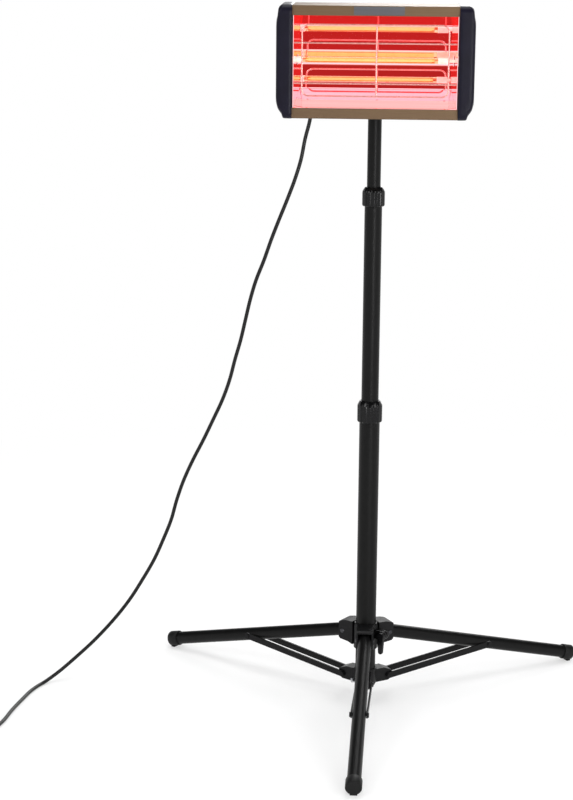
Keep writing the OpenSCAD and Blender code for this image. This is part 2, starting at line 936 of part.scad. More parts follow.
// A ceramic contact block between a pin of the lamp and the wall of its end cap
module lamp_holder(x0, x1) {
    color("#e6ddcf") at_mast() translate([x0, -lamp_y - holder_w / 2, holder_low])
        cube([x1 - x0, holder_w, holder_w]);
}

module lamp_holder_left() {
    lamp_holder(-cap_inner_x + 0.02, glass_x - ceramic_length - pin_length - 0.02);
}

module lamp_holder_right() {
    lamp_holder(glass_x + glass_length + ceramic_length + pin_length + 0.02,
        cap_inner_x - 0.02);
}

module terminal_block() {
    color("#e8e6e0") at_mast()
        translate([-cap_inner_x + 0.02, -lamp_y - 13, terminal_z]) cube([18, 26, terminal_h]);
}

// Insulated wire from the terminal block under the reflector to the right holder
module lead_long() {
    low_z = head_low + 10;
    color("#c9c6bf") at_mast() translate([0, -lamp_y, 0]) {
        translate([-lead_x, 0, low_z]) cylinder(r = lead_r, h = terminal_z - low_z);
        translate([-lead_x, 0, low_z]) along_x() cylinder(r = lead_r, h = 2 * lead_x);
        translate([lead_x, 0, low_z]) cylinder(r = lead_r, h = holder_low - low_z);
        for (x = [-lead_x, lead_x])
            translate([x, 0, low_z]) sphere(r = lead_r);
    }
}

// Insulated wire from the terminal block up to the left holder
module lead_short() {
    start_z = terminal_z + terminal_h;
    color("#c9c6bf") at_mast() translate([-lead_x - 6, -lamp_y, start_z])
        cylinder(r = lead_r, h = holder_low - start_z);
}

module label_plate() {
    color("#5c5b60") at_mast()
        translate([label_x - label_w / 2, -head_front - label_t, head_high - label_h - 1.2])
            cube([label_w, label_t, label_h]);
}

// Switch: a bezel cup in the rear wall and a rocker that swings on two trunnions

module switch_bezel() {
    rear = -head_rear;
    color("#18181a") at_mast() difference() {
        union() {
            translate([switch_x - 12, rear, switch_z - 16]) cube([24, 2, 32]);
            translate([switch_x - 9.5, rear - 18, switch_z - 13.5]) cube([19, 18, 27]);
        }
        translate([switch_x - 8.1, rear - 16.5, switch_z - 12.2]) cube([16.2, 30, 24.4]);
        translate([switch_x, rocker_pivot_y, switch_z]) along_x()
            cylinder(r = 1.55, h = 18, center = true, $fn = 24);
    }
}

module switch_rocker() {
    color("#b3231f") at_mast() translate([switch_x, rocker_pivot_y, switch_z]) {
        rotate([rocker_turn, 0, 0]) profile_x(-rocker_w / 2, rocker_w) polygon([
            [-3, -9], [3, -11.4], [5.6, -10.4], [4.4, 0], [5.6, 10.4], [3, 11.4], [-3, 9]
        ]);
        along_x() cylinder(r = 1.5, h = 17.8, center = true, $fn = 24);
    }
}

module cable_gland() {
    color("#19191a") at_mast() translate([gland_x, -head_rear, gland_z])
        rotate([-90, 0, 0]) rotate_extrude() polygon([
            [0, -4], [6, -4], [6, 0.02], [10, 0.02], [10, 6], [7.5, 7.5],
            [6.4, 10], [4.7, gland_length], [0, gland_length]
        ]);
}

// Cord

function spline(p, t) = 0.5 * (2 * p[1] + (p[2] - p[0]) * t
    + (2 * p[0] - 5 * p[1] + 4 * p[2] - p[3]) * t * t
    + (3 * p[1] - p[0] - 3 * p[2] + p[3]) * t * t * t);

// Point of the free run at a place counted in route points, never below the floor
function route_point(u) =
    let (i = min(max(floor(u), 1), len(ROUTE) - 3))
    let (p = spline([for (k = [-1 : 2]) ROUTE[i + k]], u - i))
    [p[0], p[1], max(p[2], cord_r)];

function unit(v) = v / norm(v);

// Direction of a path at ring k, from its neighbours
function path_dir(path, k) =
    unit(path[min(k + 1, len(path) - 1)] - path[max(k - 1, 0)]);

function ring(centre, dir, side_ref, r, sides) =
    let (a = unit(cross(dir, side_ref)))
    let (b = cross(dir, a))
    [for (s = [0 : sides - 1])
        let (angle = (s + 0.5) * 360 / sides)
        centre + r * cos(angle) * a + r * sin(angle) * b];

// A closed tube through the rings of a path
module tube(path, dirs, side_ref, r, sides) {
    last = len(path) - 1;
    points = [for (k = [0 : last]) each ring(path[k], dirs[k], side_ref, r, sides)];
    walls = [for (k = [0 : last - 1]) for (s = [0 : sides - 1])
        let (a = k * sides + s)
        let (b = k * sides + (s + 1) % sides)
        each [[a, a + sides, b + sides], [a, b + sides, b]]];
    start_face = [for (s = [1 : sides - 2]) [0, s, s + 1]];
    end_face = [for (s = [1 : sides - 2])
        [last * sides, last * sides + s + 1, last * sides + s]];
    polyhedron(points = points, faces = concat(walls, start_face, end_face));
}

// Direction of the free run, from the slope of the same curve
function spline_slope(p, t) = p[2] - p[0]
    + 2 * (2 * p[0] - 5 * p[1] + 4 * p[2] - p[3]) * t
    + 3 * (3 * p[1] - p[0] - 3 * p[2] + p[3]) * t * t;
function route_dir(u) =
    let (i = min(max(floor(u), 1), len(ROUTE) - 3))
    unit(spline_slope([for (k = [-1 : 2]) ROUTE[i + k]], u - i));

// The stretch of the free run between two of its points
module cord_run(from, to) {
    steps = [for (k = [0 : (to - from) * cord_rings_per_point])
        from + k / cord_rings_per_point];
    color("#161617") at_mast() tube([for (u = steps) route_point(u)],
        [for (u = steps) route_dir(u)], [1, 0, 0], cord_r, cord_sides);
}

module cord_head() {
    cord_run(1, head_cut);
}

module cord_swivel() {
    cord_run(head_cut, swivel_cut);
}

module cord_top() {
    cord_run(swivel_cut, top_cut);
}

module cord_mid() {
    cord_run(top_cut, mid_cut);
}

module cord_floor() {
    cord_run(mid_cut, route_last);
}

// The coil winds in on the floor, climbs at its inner turn and winds out on top
function coil_radius(t) = coil_in + coil_pitch * abs(t - coil_turns);
function coil_height(t) =
    coil_low_z + coil_pitch * min(max((t - coil_turns) * 2 + 0.5, 0), 1);
function coil_point(t) = [
    coil_x + coil_radius(t) * cos(-360 * t),
    coil_y + coil_radius(t) * sin(-360 * t),
    coil_height(t)
];

// The tail leaves the last turn and rises to the plug, level at both of its ends
tail_length = plug_y - coil_y;
function eased(s) = s * s * (3 - 2 * s);
function tail_point(s) = [
    plug_x,
    coil_y + tail_length * s,
    coil_high_z + (plug_z - coil_high_z) * eased(min(max((s - 0.1) / 0.8, 0), 1))
];

COIL_PATH = concat(
    [ROUTE_END, ROUTE_END - [0, cord_d, 0]],
    [for (k = [0 : coil_all * coil_steps]) coil_point(k / coil_steps)],
    [for (k = [1 : 10]) tail_point(k / 10)]
);
COIL_DIRS = [for (k = [0 : len(COIL_PATH) - 1]) path_dir(COIL_PATH, k)];
function total(list, i = 0) = i < len(list) ? list[i] + total(list, i + 1) : 0;
function run_length(path) =
    total([for (k = [1 : len(path) - 1]) norm(path[k] - path[k - 1])]);
coil_gap = min([for (k = [0 : len(COIL_PATH) - 7]) for (j = [k + 6 : len(COIL_PATH) - 1])
    norm(COIL_PATH[k] - COIL_PATH[j])]) - cord_d;
echo(coil_least_gap = coil_gap, coil_length = run_length(COIL_PATH));
echo(free_run = run_length([for (u = [1 : 0.25 : route_last]) route_point(u)]));

module cord_coil() {
    color("#161617") at_mast()
        tube(COIL_PATH, COIL_DIRS, [0, 0, 1], cord_r, coil_sides);
}

// Flat band round the bundle of turns
module coil_tie() {
    room = cord_r + 0.4;
    low = [coil_in - room, coil_low_z - room + 0.2];
    high = [coil_r + room, coil_high_z + room];
    color("#0f0f10") at_mast() translate([coil_x, coil_y, 0]) rotate([0, 0, tie_angle])
        difference() {
            translate([low[0] - tie_t, -tie_w / 2, low[1] - tie_t])
                cube([high[0] - low[0] + 2 * tie_t, tie_w, high[1] - low[1] + 2 * tie_t]);
            translate([low[0], -tie_w, low[1]])
                cube([high[0] - low[0], 2 * tie_w, high[1] - low[1]]);
        }
}

// Plug frame: Z runs along the plug from the cord to the prongs
module at_plug() {
    at_mast() translate([plug_x, plug_y, plug_z]) rotate([-90, 0, 0]) children();
}

module plug_body() {
    color("#141415") at_plug() difference() {
        rotate_extrude() polygon([
            [0, 0.02], [4.6, 0.02], [6, 16], [9.5, 20], [10.5, 30], [13, 38],
            [plug_face_r - 1.5, 43], [plug_face_r, 46], [plug_face_r, plug_length - 1],
            [plug_face_r - 1, plug_length], [0, plug_length]
        ]);
        for (side = [-1, 1])
            translate([side * prong_spacing / 2, 0, plug_length - prong_tang_length])
                cylinder(r = prong_tang_r + 0.02, h = prong_tang_length + 2);
    }
}

module plug_prong(side) {
    wall_low = prong_tang_length + prong_neck;
    tip = prong_tang_length + prong_length;
    color("#c8c6c2") at_plug()
        translate([side * prong_spacing / 2, 0, plug_length - prong_tang_length])
            rotate_extrude() polygon([
                [0, 0.02], [prong_tang_r, 0.02], [prong_tang_r, wall_low], [prong_r, wall_low],
                [prong_r, tip - 1], [prong_r - 1, tip], [0, tip]
            ]);
}

module plug_prong_left() {
    plug_prong(-1);
}

module plug_prong_right() {
    plug_prong(1);
}

outer_tube();
lower_collet();
lower_hub();
lower_hub_screw();
lower_lock();
upper_hub();
leg_pin_front();
leg_pin_right();
leg_pin_left();
hub_lever();
leg_front();
leg_right();
leg_left();
foot_front();
foot_right();
foot_left();
brace_front();
brace_right();
brace_left();
mid_tube();
mid_bush();
upper_collet();
upper_lock();
top_tube();
top_bush();
swivel_screw();
swivel_boss();
tilt_bracket();
tilt_pin();
tilt_knob();
head_shell();
end_cap_left();
end_cap_right();
reflector();
reflector_end_left();
reflector_end_right();
guard();
lamp_glass();
lamp_filament();
lamp_end_left();
lamp_end_right();
lamp_holder_left();
lamp_holder_right();
terminal_block();
lead_long();
lead_short();
label_plate();
switch_bezel();
switch_rocker();
cable_gland();
cord_head();
cord_swivel();
cord_top();
cord_mid();
cord_floor();
cord_coil();
coil_tie();
plug_body();
plug_prong_left();
plug_prong_right();
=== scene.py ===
import math

import bmesh
import bpy
from mathutils import Matrix, Vector


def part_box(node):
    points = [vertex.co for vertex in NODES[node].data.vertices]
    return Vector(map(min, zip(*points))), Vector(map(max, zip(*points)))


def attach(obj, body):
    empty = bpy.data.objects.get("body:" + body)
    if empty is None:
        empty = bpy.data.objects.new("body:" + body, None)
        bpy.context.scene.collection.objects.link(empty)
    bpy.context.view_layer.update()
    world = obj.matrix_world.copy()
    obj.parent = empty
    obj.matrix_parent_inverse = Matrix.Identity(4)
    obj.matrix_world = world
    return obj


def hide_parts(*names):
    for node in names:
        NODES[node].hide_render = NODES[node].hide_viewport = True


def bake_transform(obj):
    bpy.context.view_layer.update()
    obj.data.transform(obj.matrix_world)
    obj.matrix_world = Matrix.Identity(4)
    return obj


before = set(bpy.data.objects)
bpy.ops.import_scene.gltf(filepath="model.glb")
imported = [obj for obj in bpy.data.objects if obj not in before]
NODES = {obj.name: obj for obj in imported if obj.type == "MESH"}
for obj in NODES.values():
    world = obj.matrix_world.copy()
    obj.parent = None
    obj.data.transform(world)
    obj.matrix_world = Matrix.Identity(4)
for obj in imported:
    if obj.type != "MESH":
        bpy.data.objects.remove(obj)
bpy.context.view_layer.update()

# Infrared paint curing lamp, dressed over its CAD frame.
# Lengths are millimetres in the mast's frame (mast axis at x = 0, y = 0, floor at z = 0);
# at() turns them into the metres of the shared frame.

SCENE = bpy.context.scene
MILLIMETRES = 1000
MAST_LOW, MAST_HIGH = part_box("outer_tube")
MAST_X = MILLIMETRES / 2 * (MAST_LOW[0] + MAST_HIGH[0])
MAST_Y = MILLIMETRES / 2 * (MAST_LOW[1] + MAST_HIGH[1])


def at(x, y, z):
    return Vector((x + MAST_X, y + MAST_Y, z)) / MILLIMETRES


# Camera, at the photograph's place

CAMERA_AT = (29.4, -3721.5, 1477.5)
CAMERA_HEADING = math.radians(-2.845)
CAMERA_TILT = math.radians(-13.526)
CAMERA_ROLL = math.radians(0.461)
FOCAL_PIXELS = 2054.0
IMAGE_HEIGHT = 800
SENSOR = 36.0
NEAR_CLIP = 0.05
FAR_CLIP = 60


def make_camera():
    data = bpy.data.cameras.new("camera")
    data.sensor_width = SENSOR
    data.lens = FOCAL_PIXELS * SENSOR / IMAGE_HEIGHT
    data.clip_start = NEAR_CLIP
    data.clip_end = FAR_CLIP
    camera = bpy.data.objects.new("camera", data)
    SCENE.collection.objects.link(camera)
    forward = Vector((math.sin(CAMERA_HEADING) * math.cos(CAMERA_TILT),
                      math.cos(CAMERA_HEADING) * math.cos(CAMERA_TILT),
                      math.sin(CAMERA_TILT)))
    level = Vector((forward.y, -forward.x, 0)).normalized()
    upright = level.cross(forward).normalized()
    right = level * math.cos(CAMERA_ROLL) + upright * math.sin(CAMERA_ROLL)
    up = upright * math.cos(CAMERA_ROLL) - level * math.sin(CAMERA_ROLL)
    turn = Matrix((right, up, -forward)).transposed()
    camera.matrix_world = Matrix.Translation(at(*CAMERA_AT)) @ turn.to_4x4()
    SCENE.camera = camera


make_camera()


# Mesh helpers

MERGE_DISTANCE = 1e-6
QUAD_CORNERS = 4
NEARLY_UPRIGHT = 0.9
ON_AXIS = 0.01
TUBE_SIDES = 16
TUBE_SHARP_ANGLE = 60


def add_object(name, mesh, material, body):
    piece = bpy.data.objects.new(name, mesh)
    SCENE.collection.objects.link(piece)
    if material is not None:
        mesh.materials.append(material)
    if body is not None:
        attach(piece, body)
    return piece


def mesh_from(name, points, faces, smooth=True, sharp_angle=35):
    """A mesh shaded smooth between its sharp edges. A face with more corners than a quad is a
    flat end, and is shaded flat."""
    mesh = bpy.data.meshes.new(name)
    mesh.from_pydata([tuple(p) for p in points], [], faces)
    mesh.update()
    shell = bmesh.new()
    shell.from_mesh(mesh)
    bmesh.ops.remove_doubles(shell, verts=shell.verts, dist=MERGE_DISTANCE)
    bmesh.ops.recalc_face_normals(shell, faces=shell.faces)
    for edge in shell.edges:
        if len(edge.link_faces) == 2 and edge.calc_face_angle(0) > math.radians(sharp_angle):
            edge.smooth = False
    shell.to_mesh(mesh)
    shell.free()
    for polygon in mesh.polygons:
        polygon.use_smooth = smooth and len(polygon.vertices) <= QUAD_CORNERS
    return mesh


def frame_axes(direction):
    """Two directions square to the given one, and that direction itself."""
    w = Vector(direction).normalized()
    helper = Vector((0, 0, 1)) if abs(w.z) < NEARLY_UPRIGHT else Vector((1, 0, 0))
    u = helper.cross(w).normalized()
    return u, w.cross(u), w


def ring_faces(rings, sides):
    """Quads between rings of points, each ring joined to the next."""
    faces = []
    for j in range(rings - 1):
        for k in range(sides):
            a = j * sides + k
            b = j * sides + (k + 1) % sides
            faces.append((a, b, b + sides, a + sides))
    return faces


def lathe(name, profile, origin, axis, material, body, sides=64, sharp_angle=35):
    """Turns a profile of (radius, height) points about an axis through origin."""
    u, v, w = frame_axes(axis)
    points = []
    for radius, height in profile:
        for k in range(sides):
            angle = 2 * math.pi * k / sides
            outwards = u * math.cos(angle) + v * math.sin(angle)
            points.append(origin + outwards * radius / MILLIMETRES + w * height / MILLIMETRES)
    faces = ring_faces(len(profile), sides)
    if profile[0][0] > ON_AXIS:
        faces.append(tuple(range(sides)))
    if profile[-1][0] > ON_AXIS:
        last = (len(profile) - 1) * sides
        faces.append(tuple(last + k for k in range(sides)))
    mesh = mesh_from(name, points, faces, sharp_angle=sharp_angle)
    return add_object(name, mesh, material, body)


def tube_mesh(name, path, radius, closed=False):
    """A round tube through points in metres, with its ring kept from twisting."""
    count = len(path)
    points = []
    ring = None
    for k in range(count):
        before = path[(k - 1) % count] if closed else path[max(k - 1, 0)]
        after = path[(k + 1) % count] if closed else path[min(k + 1, count - 1)]
        along = (after - before).normalized()
        if ring is None:
            ring = frame_axes(along)[0]
        ring = (ring - along * ring.dot(along)).normalized()
        other = along.cross(ring)
        for s in range(TUBE_SIDES):
            angle = 2 * math.pi * s / TUBE_SIDES
            points.append(path[k] + (ring * math.cos(angle) + other * math.sin(angle)) * radius)
    faces = []
    for k in range(count if closed else count - 1):
        for s in range(TUBE_SIDES):
            a = k * TUBE_SIDES + s
            b = k * TUBE_SIDES + (s + 1) % TUBE_SIDES
            c = (a + TUBE_SIDES) % len(points)
            d = (b + TUBE_SIDES) % len(points)
            faces.append((a, b, d, c))
    if not closed:
        faces.append(tuple(range(TUBE_SIDES))[::-1])
        faces.append(tuple((count - 1) * TUBE_SIDES + s for s in range(TUBE_SIDES)))
    return mesh_from(name, points, faces, sharp_angle=TUBE_SHARP_ANGLE)


# Node helpers

NOISE_LOW = 0.3
NOISE_HIGH = 0.7
PATCH_GRAINS = 14
# Sockets of a mix node, which has several with the same name
COLOUR_FIRST = 6
COLOUR_SECOND = 7
COLOUR_RESULT = 2
NUMBER_FACTOR = 0
NUMBER_FIRST = 2
NUMBER_SECOND = 3


def node_input(tree, socket, value):
    """Links another node's output, or sets a plain value."""
    if isinstance(value, bpy.types.NodeSocket):
        tree.links.new(value, socket)
    else:
        socket.default_value = value


def add_node(tree, kind, values=None, **settings):
    node = tree.nodes.new(kind)
    for key, value in settings.items():
        setattr(node, key, value)
    for key, value in (values or {}).items():
        node_input(tree, node.inputs[key], value)
    return node


def mapped_place(tree, stretch):
    place = add_node(tree, "ShaderNodeTexCoord")
    mapping = add_node(tree, "ShaderNodeMapping", {"Vector": place.outputs["Object"]})
    mapping.inputs["Scale"].default_value = stretch
    return mapping.outputs["Vector"]


def noise(tree, vector, scale, detail, roughness):
    made = add_node(tree, "ShaderNodeTexNoise", {
        "Vector": vector, "Scale": scale, "Detail": detail, "Roughness": roughness})
    return made.outputs["Fac"]


def remap(tree, value, low, high, to_low, to_high):
    made = add_node(tree, "ShaderNodeMapRange", {
        "Value": value, "From Min": low, "From Max": high, "To Min": to_low, "To Max": to_high})
    return made.outputs["Result"]


def linear(rgb):
    """Linear colour from 0-255 sRGB numbers."""
    made = [c / 255 for c in rgb]
    made = [c / 12.92 if c <= 0.04045 else ((c + 0.055) / 1.055) ** 2.4 for c in made]
    return (*made, 1.0)


def blend_colours(tree, factor, first, second):
    mix = add_node(tree, "ShaderNodeMix", data_type="RGBA")
    node_input(tree, mix.inputs["Factor"], factor)
    mix.inputs[COLOUR_FIRST].default_value = first
    mix.inputs[COLOUR_SECOND].default_value = second
    return mix.outputs[COLOUR_RESULT]


def finish_material(name, dark, light, roughness, grain, bump, stretch=(1, 1, 1),
                    metallic=0.0, **sockets):
    """A Principled surface whose colour and roughness vary, with a fine grain in its normal.

    dark and light are the two ends of the colour, roughness is (low, high), grain is the
    noise's scale per metre, and bump its depth in millimetres. The colour varies in patches
    many grains wide. The remaining values go to the shader's own sockets."""
    material = bpy.data.materials.new(name)
    material.use_nodes = True
    tree = material.node_tree
    shader = tree.nodes["Principled BSDF"]
    place = mapped_place(tree, stretch)
    broad = noise(tree, place, grain / PATCH_GRAINS, 3.0, 0.55)
    fine = noise(tree, place, grain, 5.0, 0.6)
    colour = blend_colours(tree, remap(tree, broad, NOISE_LOW, NOISE_HIGH, 0.0, 1.0),
                           linear(dark), linear(light))
    tree.links.new(colour, shader.inputs["Base Color"])
    tree.links.new(remap(tree, fine, NOISE_LOW, NOISE_HIGH, roughness[0], roughness[1]),
                   shader.inputs["Roughness"])
    relief = add_node(tree, "ShaderNodeBump", {"Height": fine, "Strength": 1.0,
                                               "Distance": bump / MILLIMETRES})
    tree.links.new(relief.outputs["Normal"], shader.inputs["Normal"])
    shader.inputs["Metallic"].default_value = metallic
    for key, value in sockets.items():
        shader.inputs[key.replace("_", " ")].default_value = value
    return material


# Materials of the stand and the cord

SATIN_BLACK = finish_material("satin_black_tube", (10, 10, 10), (14, 14, 14), (0.32, 0.44),
                              1400, 0.012, Specular_IOR_Level=0.15)
PLASTIC_BLACK = finish_material("black_plastic", (12, 12, 13), (18, 18, 19), (0.3, 0.45),
                                2600, 0.02, Specular_IOR_Level=0.18)
LOCK_BLACK = finish_material("lock_plastic", (10, 10, 11), (15, 15, 16), (0.16, 0.24), 2600,
                             0.008, Specular_IOR_Level=0.22)
RUBBER_BLACK = finish_material("black_rubber", (13, 13, 13), (20, 20, 20), (0.45, 0.6),
                               1800, 0.04, Specular_IOR_Level=0.2)
BAR_BLACK = finish_material("painted_bar", (12, 12, 13), (17, 17, 18), (0.28, 0.4),
                            1600, 0.015, Specular_IOR_Level=0.16)
ZINC = finish_material("zinc_steel", (150, 152, 156), (196, 197, 200), (0.2, 0.42),
                       900, 0.01, metallic=1.0)
PIN_ZINC = finish_material("pin_zinc", (58, 58, 61), (78, 78, 81), (0.3, 0.45), 900, 0.01,
                           metallic=1.0)
CORD_BLACK = finish_material("cord_black", (7, 7, 8), (12, 12, 13), (0.26, 0.38), 2200, 0.015,
                             Specular_IOR_Level=0.3)
TIE_FABRIC = finish_material("tie_fabric", (16, 16, 17), (30, 30, 31), (0.85, 0.95), 3200,
                             0.25, Sheen_Weight=0.3)
NICKEL = finish_material("prong_nickel", (188, 184, 176), (216, 212, 204), (0.16, 0.3),
                         800, 0.004, metallic=1.0)


# Materials of the head

BRONZE = finish_material("bronze_housing", (102, 82, 62), (107, 87, 67), (0.44, 0.56),
                         9000, 0.002, stretch=(0.03, 1, 1), metallic=0.7,
                         Specular_IOR_Level=0.3)
NAVY = finish_material("navy_cap", (19, 17, 29), (23, 21, 35), (0.32, 0.42), 500, 0.003,
                       Specular_IOR_Level=0.12)
LABEL = finish_material("label_grey", (80, 79, 84), (90, 89, 94), (0.4, 0.55), 2400, 0.004,
                        stretch=(0.04, 1, 1), metallic=0.1, Specular_IOR_Level=0.3)
SWITCH_BLACK = finish_material("switch_black", (20, 20, 22), (27, 27, 29), (0.24, 0.34),
                               1500, 0.01)
SWITCH_RED = finish_material("switch_red", (168, 30, 26), (186, 38, 32), (0.22, 0.32),
                             900, 0.006)
SLEEVE = finish_material("lead_sleeve", (190, 187, 180), (214, 211, 204), (0.7, 0.85),
                         3000, 0.08)
# Guard wire: its pink tint and its glow are painted light, the lamp's red light on the chrome
# wires
GUARD_WIRE_PAINTED_GLOW = finish_material("guard_wire", (206, 150, 144), (216, 164, 158), (0.2, 0.34),
                           700, 0.002, metallic=0.9,
                           Emission_Color=(1.0, 0.3, 0.27, 1.0), Emission_Strength=0.22)
# White ceramic of the lamp's ends, holders and terminal block, with a warm painted glow standing
# in for the lamp's light on it
CERAMIC_PAINTED_GLOW = finish_material("white_ceramic", (226, 216, 202), (240, 232, 220), (0.55, 0.75),
                          1300, 0.03, Emission_Color=(1.0, 0.8, 0.66, 1.0),
                          Emission_Strength=0.42)
QUARTZ = finish_material("lamp_quartz", (255, 224, 182), (255, 232, 194), (0.01, 0.03), 600,
                         0.001, Transmission_Weight=1.0, IOR=1.46,
                         Emission_Color=(1.0, 0.34, 0.02, 1.0), Emission_Strength=0.1)

# Painted red lamplight on each facet of the reflector, as the strength of its glow, from the
# lower lip round to the upper lip
FACET_PAINTED_LAMPLIGHT = (0.12, 0.46, 0.3, 0.42, 0.16)
REAR_FACET = 2


def lamplit_mirror_material(name, dark, light, glow):
    """Rolled reflector sheet with a painted red glow: the lamp's red light on it."""
    return finish_material(name, dark, light, (0.008, 0.022), 3600, 0.0002,
                           stretch=(0.012, 1, 1), metallic=1.0,
                           Emission_Color=(1.0, 0.017, 0.014, 1.0), Emission_Strength=glow)


def facet_mirror(k):
    """The finish of one facet, with painted lamplight. The rear one, right behind the lamp, is
    painted warmer as the lamp's light on it, and the others are painted pink.
    """
    name = "mirror_facet_%d" % k
    if k == REAR_FACET:
        return lamplit_mirror_material(name, (246, 218, 208), (250, 228, 218), FACET_PAINTED_LAMPLIGHT[k])
    return lamplit_mirror_material(name, (249, 233, 238), (252, 239, 243), FACET_PAINTED_LAMPLIGHT[k])


MIRRORS = [facet_mirror(k) for k in range(len(FACET_PAINTED_LAMPLIGHT))]
# The slanted ends have the same painted red lamplight and painted pink tint
MIRROR_END = lamplit_mirror_material("mirror_end", (246, 226, 230), (250, 234, 238), 0.3)


def glow_material(name, colour, low, high, bands):
    """A glowing surface whose strength ripples along the lamp, as over a wound filament."""
    material = finish_material(name, (40, 22, 10), (60, 34, 16), (0.5, 0.6), 900, 0.002)
    tree = material.node_tree
    shader = tree.nodes["Principled BSDF"]
    wave = add_node(tree, "ShaderNodeTexWave", {
        "Vector": mapped_place(tree, (1, 1, 1)), "Scale": bands}, bands_direction="X")
    tree.links.new(remap(tree, wave.outputs["Fac"], 0, 1, low, high),
                   shader.inputs["Emission Strength"])
    shader.inputs["Emission Color"].default_value = colour
    return material


FILAMENT = glow_material("hot_filament", (1.0, 0.8, 0.42, 1.0), 0.98, 1.2, 220)
FILAMENT_HOLD = glow_material("filament_hold", (1.0, 0.6, 0.2, 1.0), 0.7, 0.9, 90)


# Cord: the same route as the CAD source, in five stretches, and the coil beside the stand

CORD_R = 3.5
ROUTE = [
    (-112, -13, 1150), (-112, -6, 1150), (-112, 1, 1150), (-112, 12, 1147),
    (-113, 21, 1138), (-115, 26, 1122), (-119, 28, 1096), (-127, 28, 1064),
    (-134, 28, 1027), (-145, 28, 990), (-159, 29, 952), (-174, 30, 914),
    (-188, 32, 877), (-201, 34, 839), (-216, 37, 800), (-227, 40, 762),
    (-236, 43, 723), (-245, 46, 684), (-256, 48, 645), (-266, 51, 606),
    (-280, 54, 566), (-298, 56, 526), (-317, 58, 485), (-337, 60, 445),
    (-355, 62, 404), (-369, 64, 363), (-380, 65, 323), (-396, 65, 282),
    (-414, 66, 241), (-437, 64, 200), (-463, 63, 158), (-494, 58, 118),
    (-531, 50, 78), (-570, 41, 42), (-600, 32, 17), (-624, 10, 4),
    (-641, -31, 3.5), (-652, -83, 3.5), (-661, -134, 3.5), (-667, -183, 3.5),
    (-674, -213, 3.8), (-682, -232, 4.4), (-686, -246, 4.9), (-686, -255, 4.9),
    (-686, -264, 4.9),
]
ROUTE_STEPS = 5
# Points of the route at which one stretch ends and the next begins
ROUTE_FIRST = 1
AT_SWIVEL = 8
AT_TOP = 13
AT_MID = 19
AT_BASE = 30
ROUTE_LAST = len(ROUTE) - 2
COIL_R = 49
COIL_PITCH = 7.6
COIL_TURNS = 2.75
COIL_LOW = 4.9
# Share of a turn in which the coil climbs from its lower layer to its upper one
COIL_CLIMB = 0.5
COIL_STEPS = 36
COIL_X = ROUTE[ROUTE_LAST][0] - COIL_R
COIL_Y = ROUTE[ROUTE_LAST][1] - 4 * CORD_R
COIL_IN = COIL_R - COIL_TURNS * COIL_PITCH
COIL_HIGH = COIL_LOW + COIL_PITCH
TAIL_LENGTH = 70
TAIL_FLAT = 0.1
TAIL_STEPS = 16
PLUG_X = COIL_X - COIL_R
PLUG_Y = COIL_Y + TAIL_LENGTH
PLUG_Z = 18.5


def route_point(u):
    """A point of the smooth curve through the route's points."""
    i = min(max(int(math.floor(u)), 1), len(ROUTE) - 3)
    t = u - i
    p = [Vector(ROUTE[i + k]) for k in (-1, 0, 1, 2)]
    point = 0.5 * (2 * p[1] + (p[2] - p[0]) * t
                   + (2 * p[0] - 5 * p[1] + 4 * p[2] - p[3]) * t * t
                   + (3 * p[1] - p[0] - 3 * p[2] + p[3]) * t * t * t)
    return at(point.x, point.y, max(point.z, CORD_R))


def route_path(first, last):
    count = (last - first) * ROUTE_STEPS
    return [route_point(first + k / ROUTE_STEPS) for k in range(count + 1)]


def coil_point(t):
    """A point of the coil after t turns: inwards in the lower layer, outwards in the upper."""
    radius = COIL_IN + COIL_PITCH * abs(t - COIL_TURNS)
    climb = min(max((t - COIL_TURNS) / COIL_CLIMB + 0.5, 0), 1)
    angle = -2 * math.pi * t
    return at(COIL_X + radius * math.cos(angle), COIL_Y + radius * math.sin(angle),
              COIL_LOW + COIL_PITCH * climb)


def tail_point(s):
    """A point of the straight tail that rises from the coil to the plug."""
    rise = min(max((s - TAIL_FLAT) / (1 - 2 * TAIL_FLAT), 0), 1)
    eased = rise * rise * (3 - 2 * rise)
    return at(PLUG_X, COIL_Y + TAIL_LENGTH * s, COIL_HIGH + (PLUG_Z - COIL_HIGH) * eased)


def coil_path():
    turns = round(2 * COIL_TURNS * COIL_STEPS)
    return ([coil_point(k / COIL_STEPS) for k in range(turns + 1)]
            + [tail_point(k / TAIL_STEPS) for k in range(1, TAIL_STEPS + 1)])


def cord_stretch(name, path, body, across, nodes):
    """A stretch of the cord. One that crosses a joint is put on no body, with its place baked
    into its points.
    """
    mesh = tube_mesh(name, path, CORD_R / MILLIMETRES)
    piece = add_object(name, mesh, CORD_BLACK, body)
    if across:
        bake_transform(piece)
    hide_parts(*nodes)
    return piece


# Tie: a hook-and-loop band round the bundle of turns

TIE_ANGLE = 70
TIE_BOTTOM = 0.4
TIE_SIDE_GAP = 1.0
TIE_TOP_GAP = 1.3
TIE_LOWEST = 0.1
TIE_STEPS = 72
# Below 1, the band's loop is squarer than an ellipse
TIE_SQUARENESS = 0.42
# The strap's section: (place across its width, how far it stands out)
TIE_SECTION = [(-4.5, 0.0), (-4.1, 0.35), (0.0, 0.5), (4.1, 0.35), (4.5, 0.0), (4.1, -0.3),
               (-4.1, -0.3)]
# Rough half size of the band's loop, which turns a millimetre outwards into a scale
TIE_SCALE = 12


def squared(value):
    return math.copysign(abs(value) ** TIE_SQUARENESS, value)


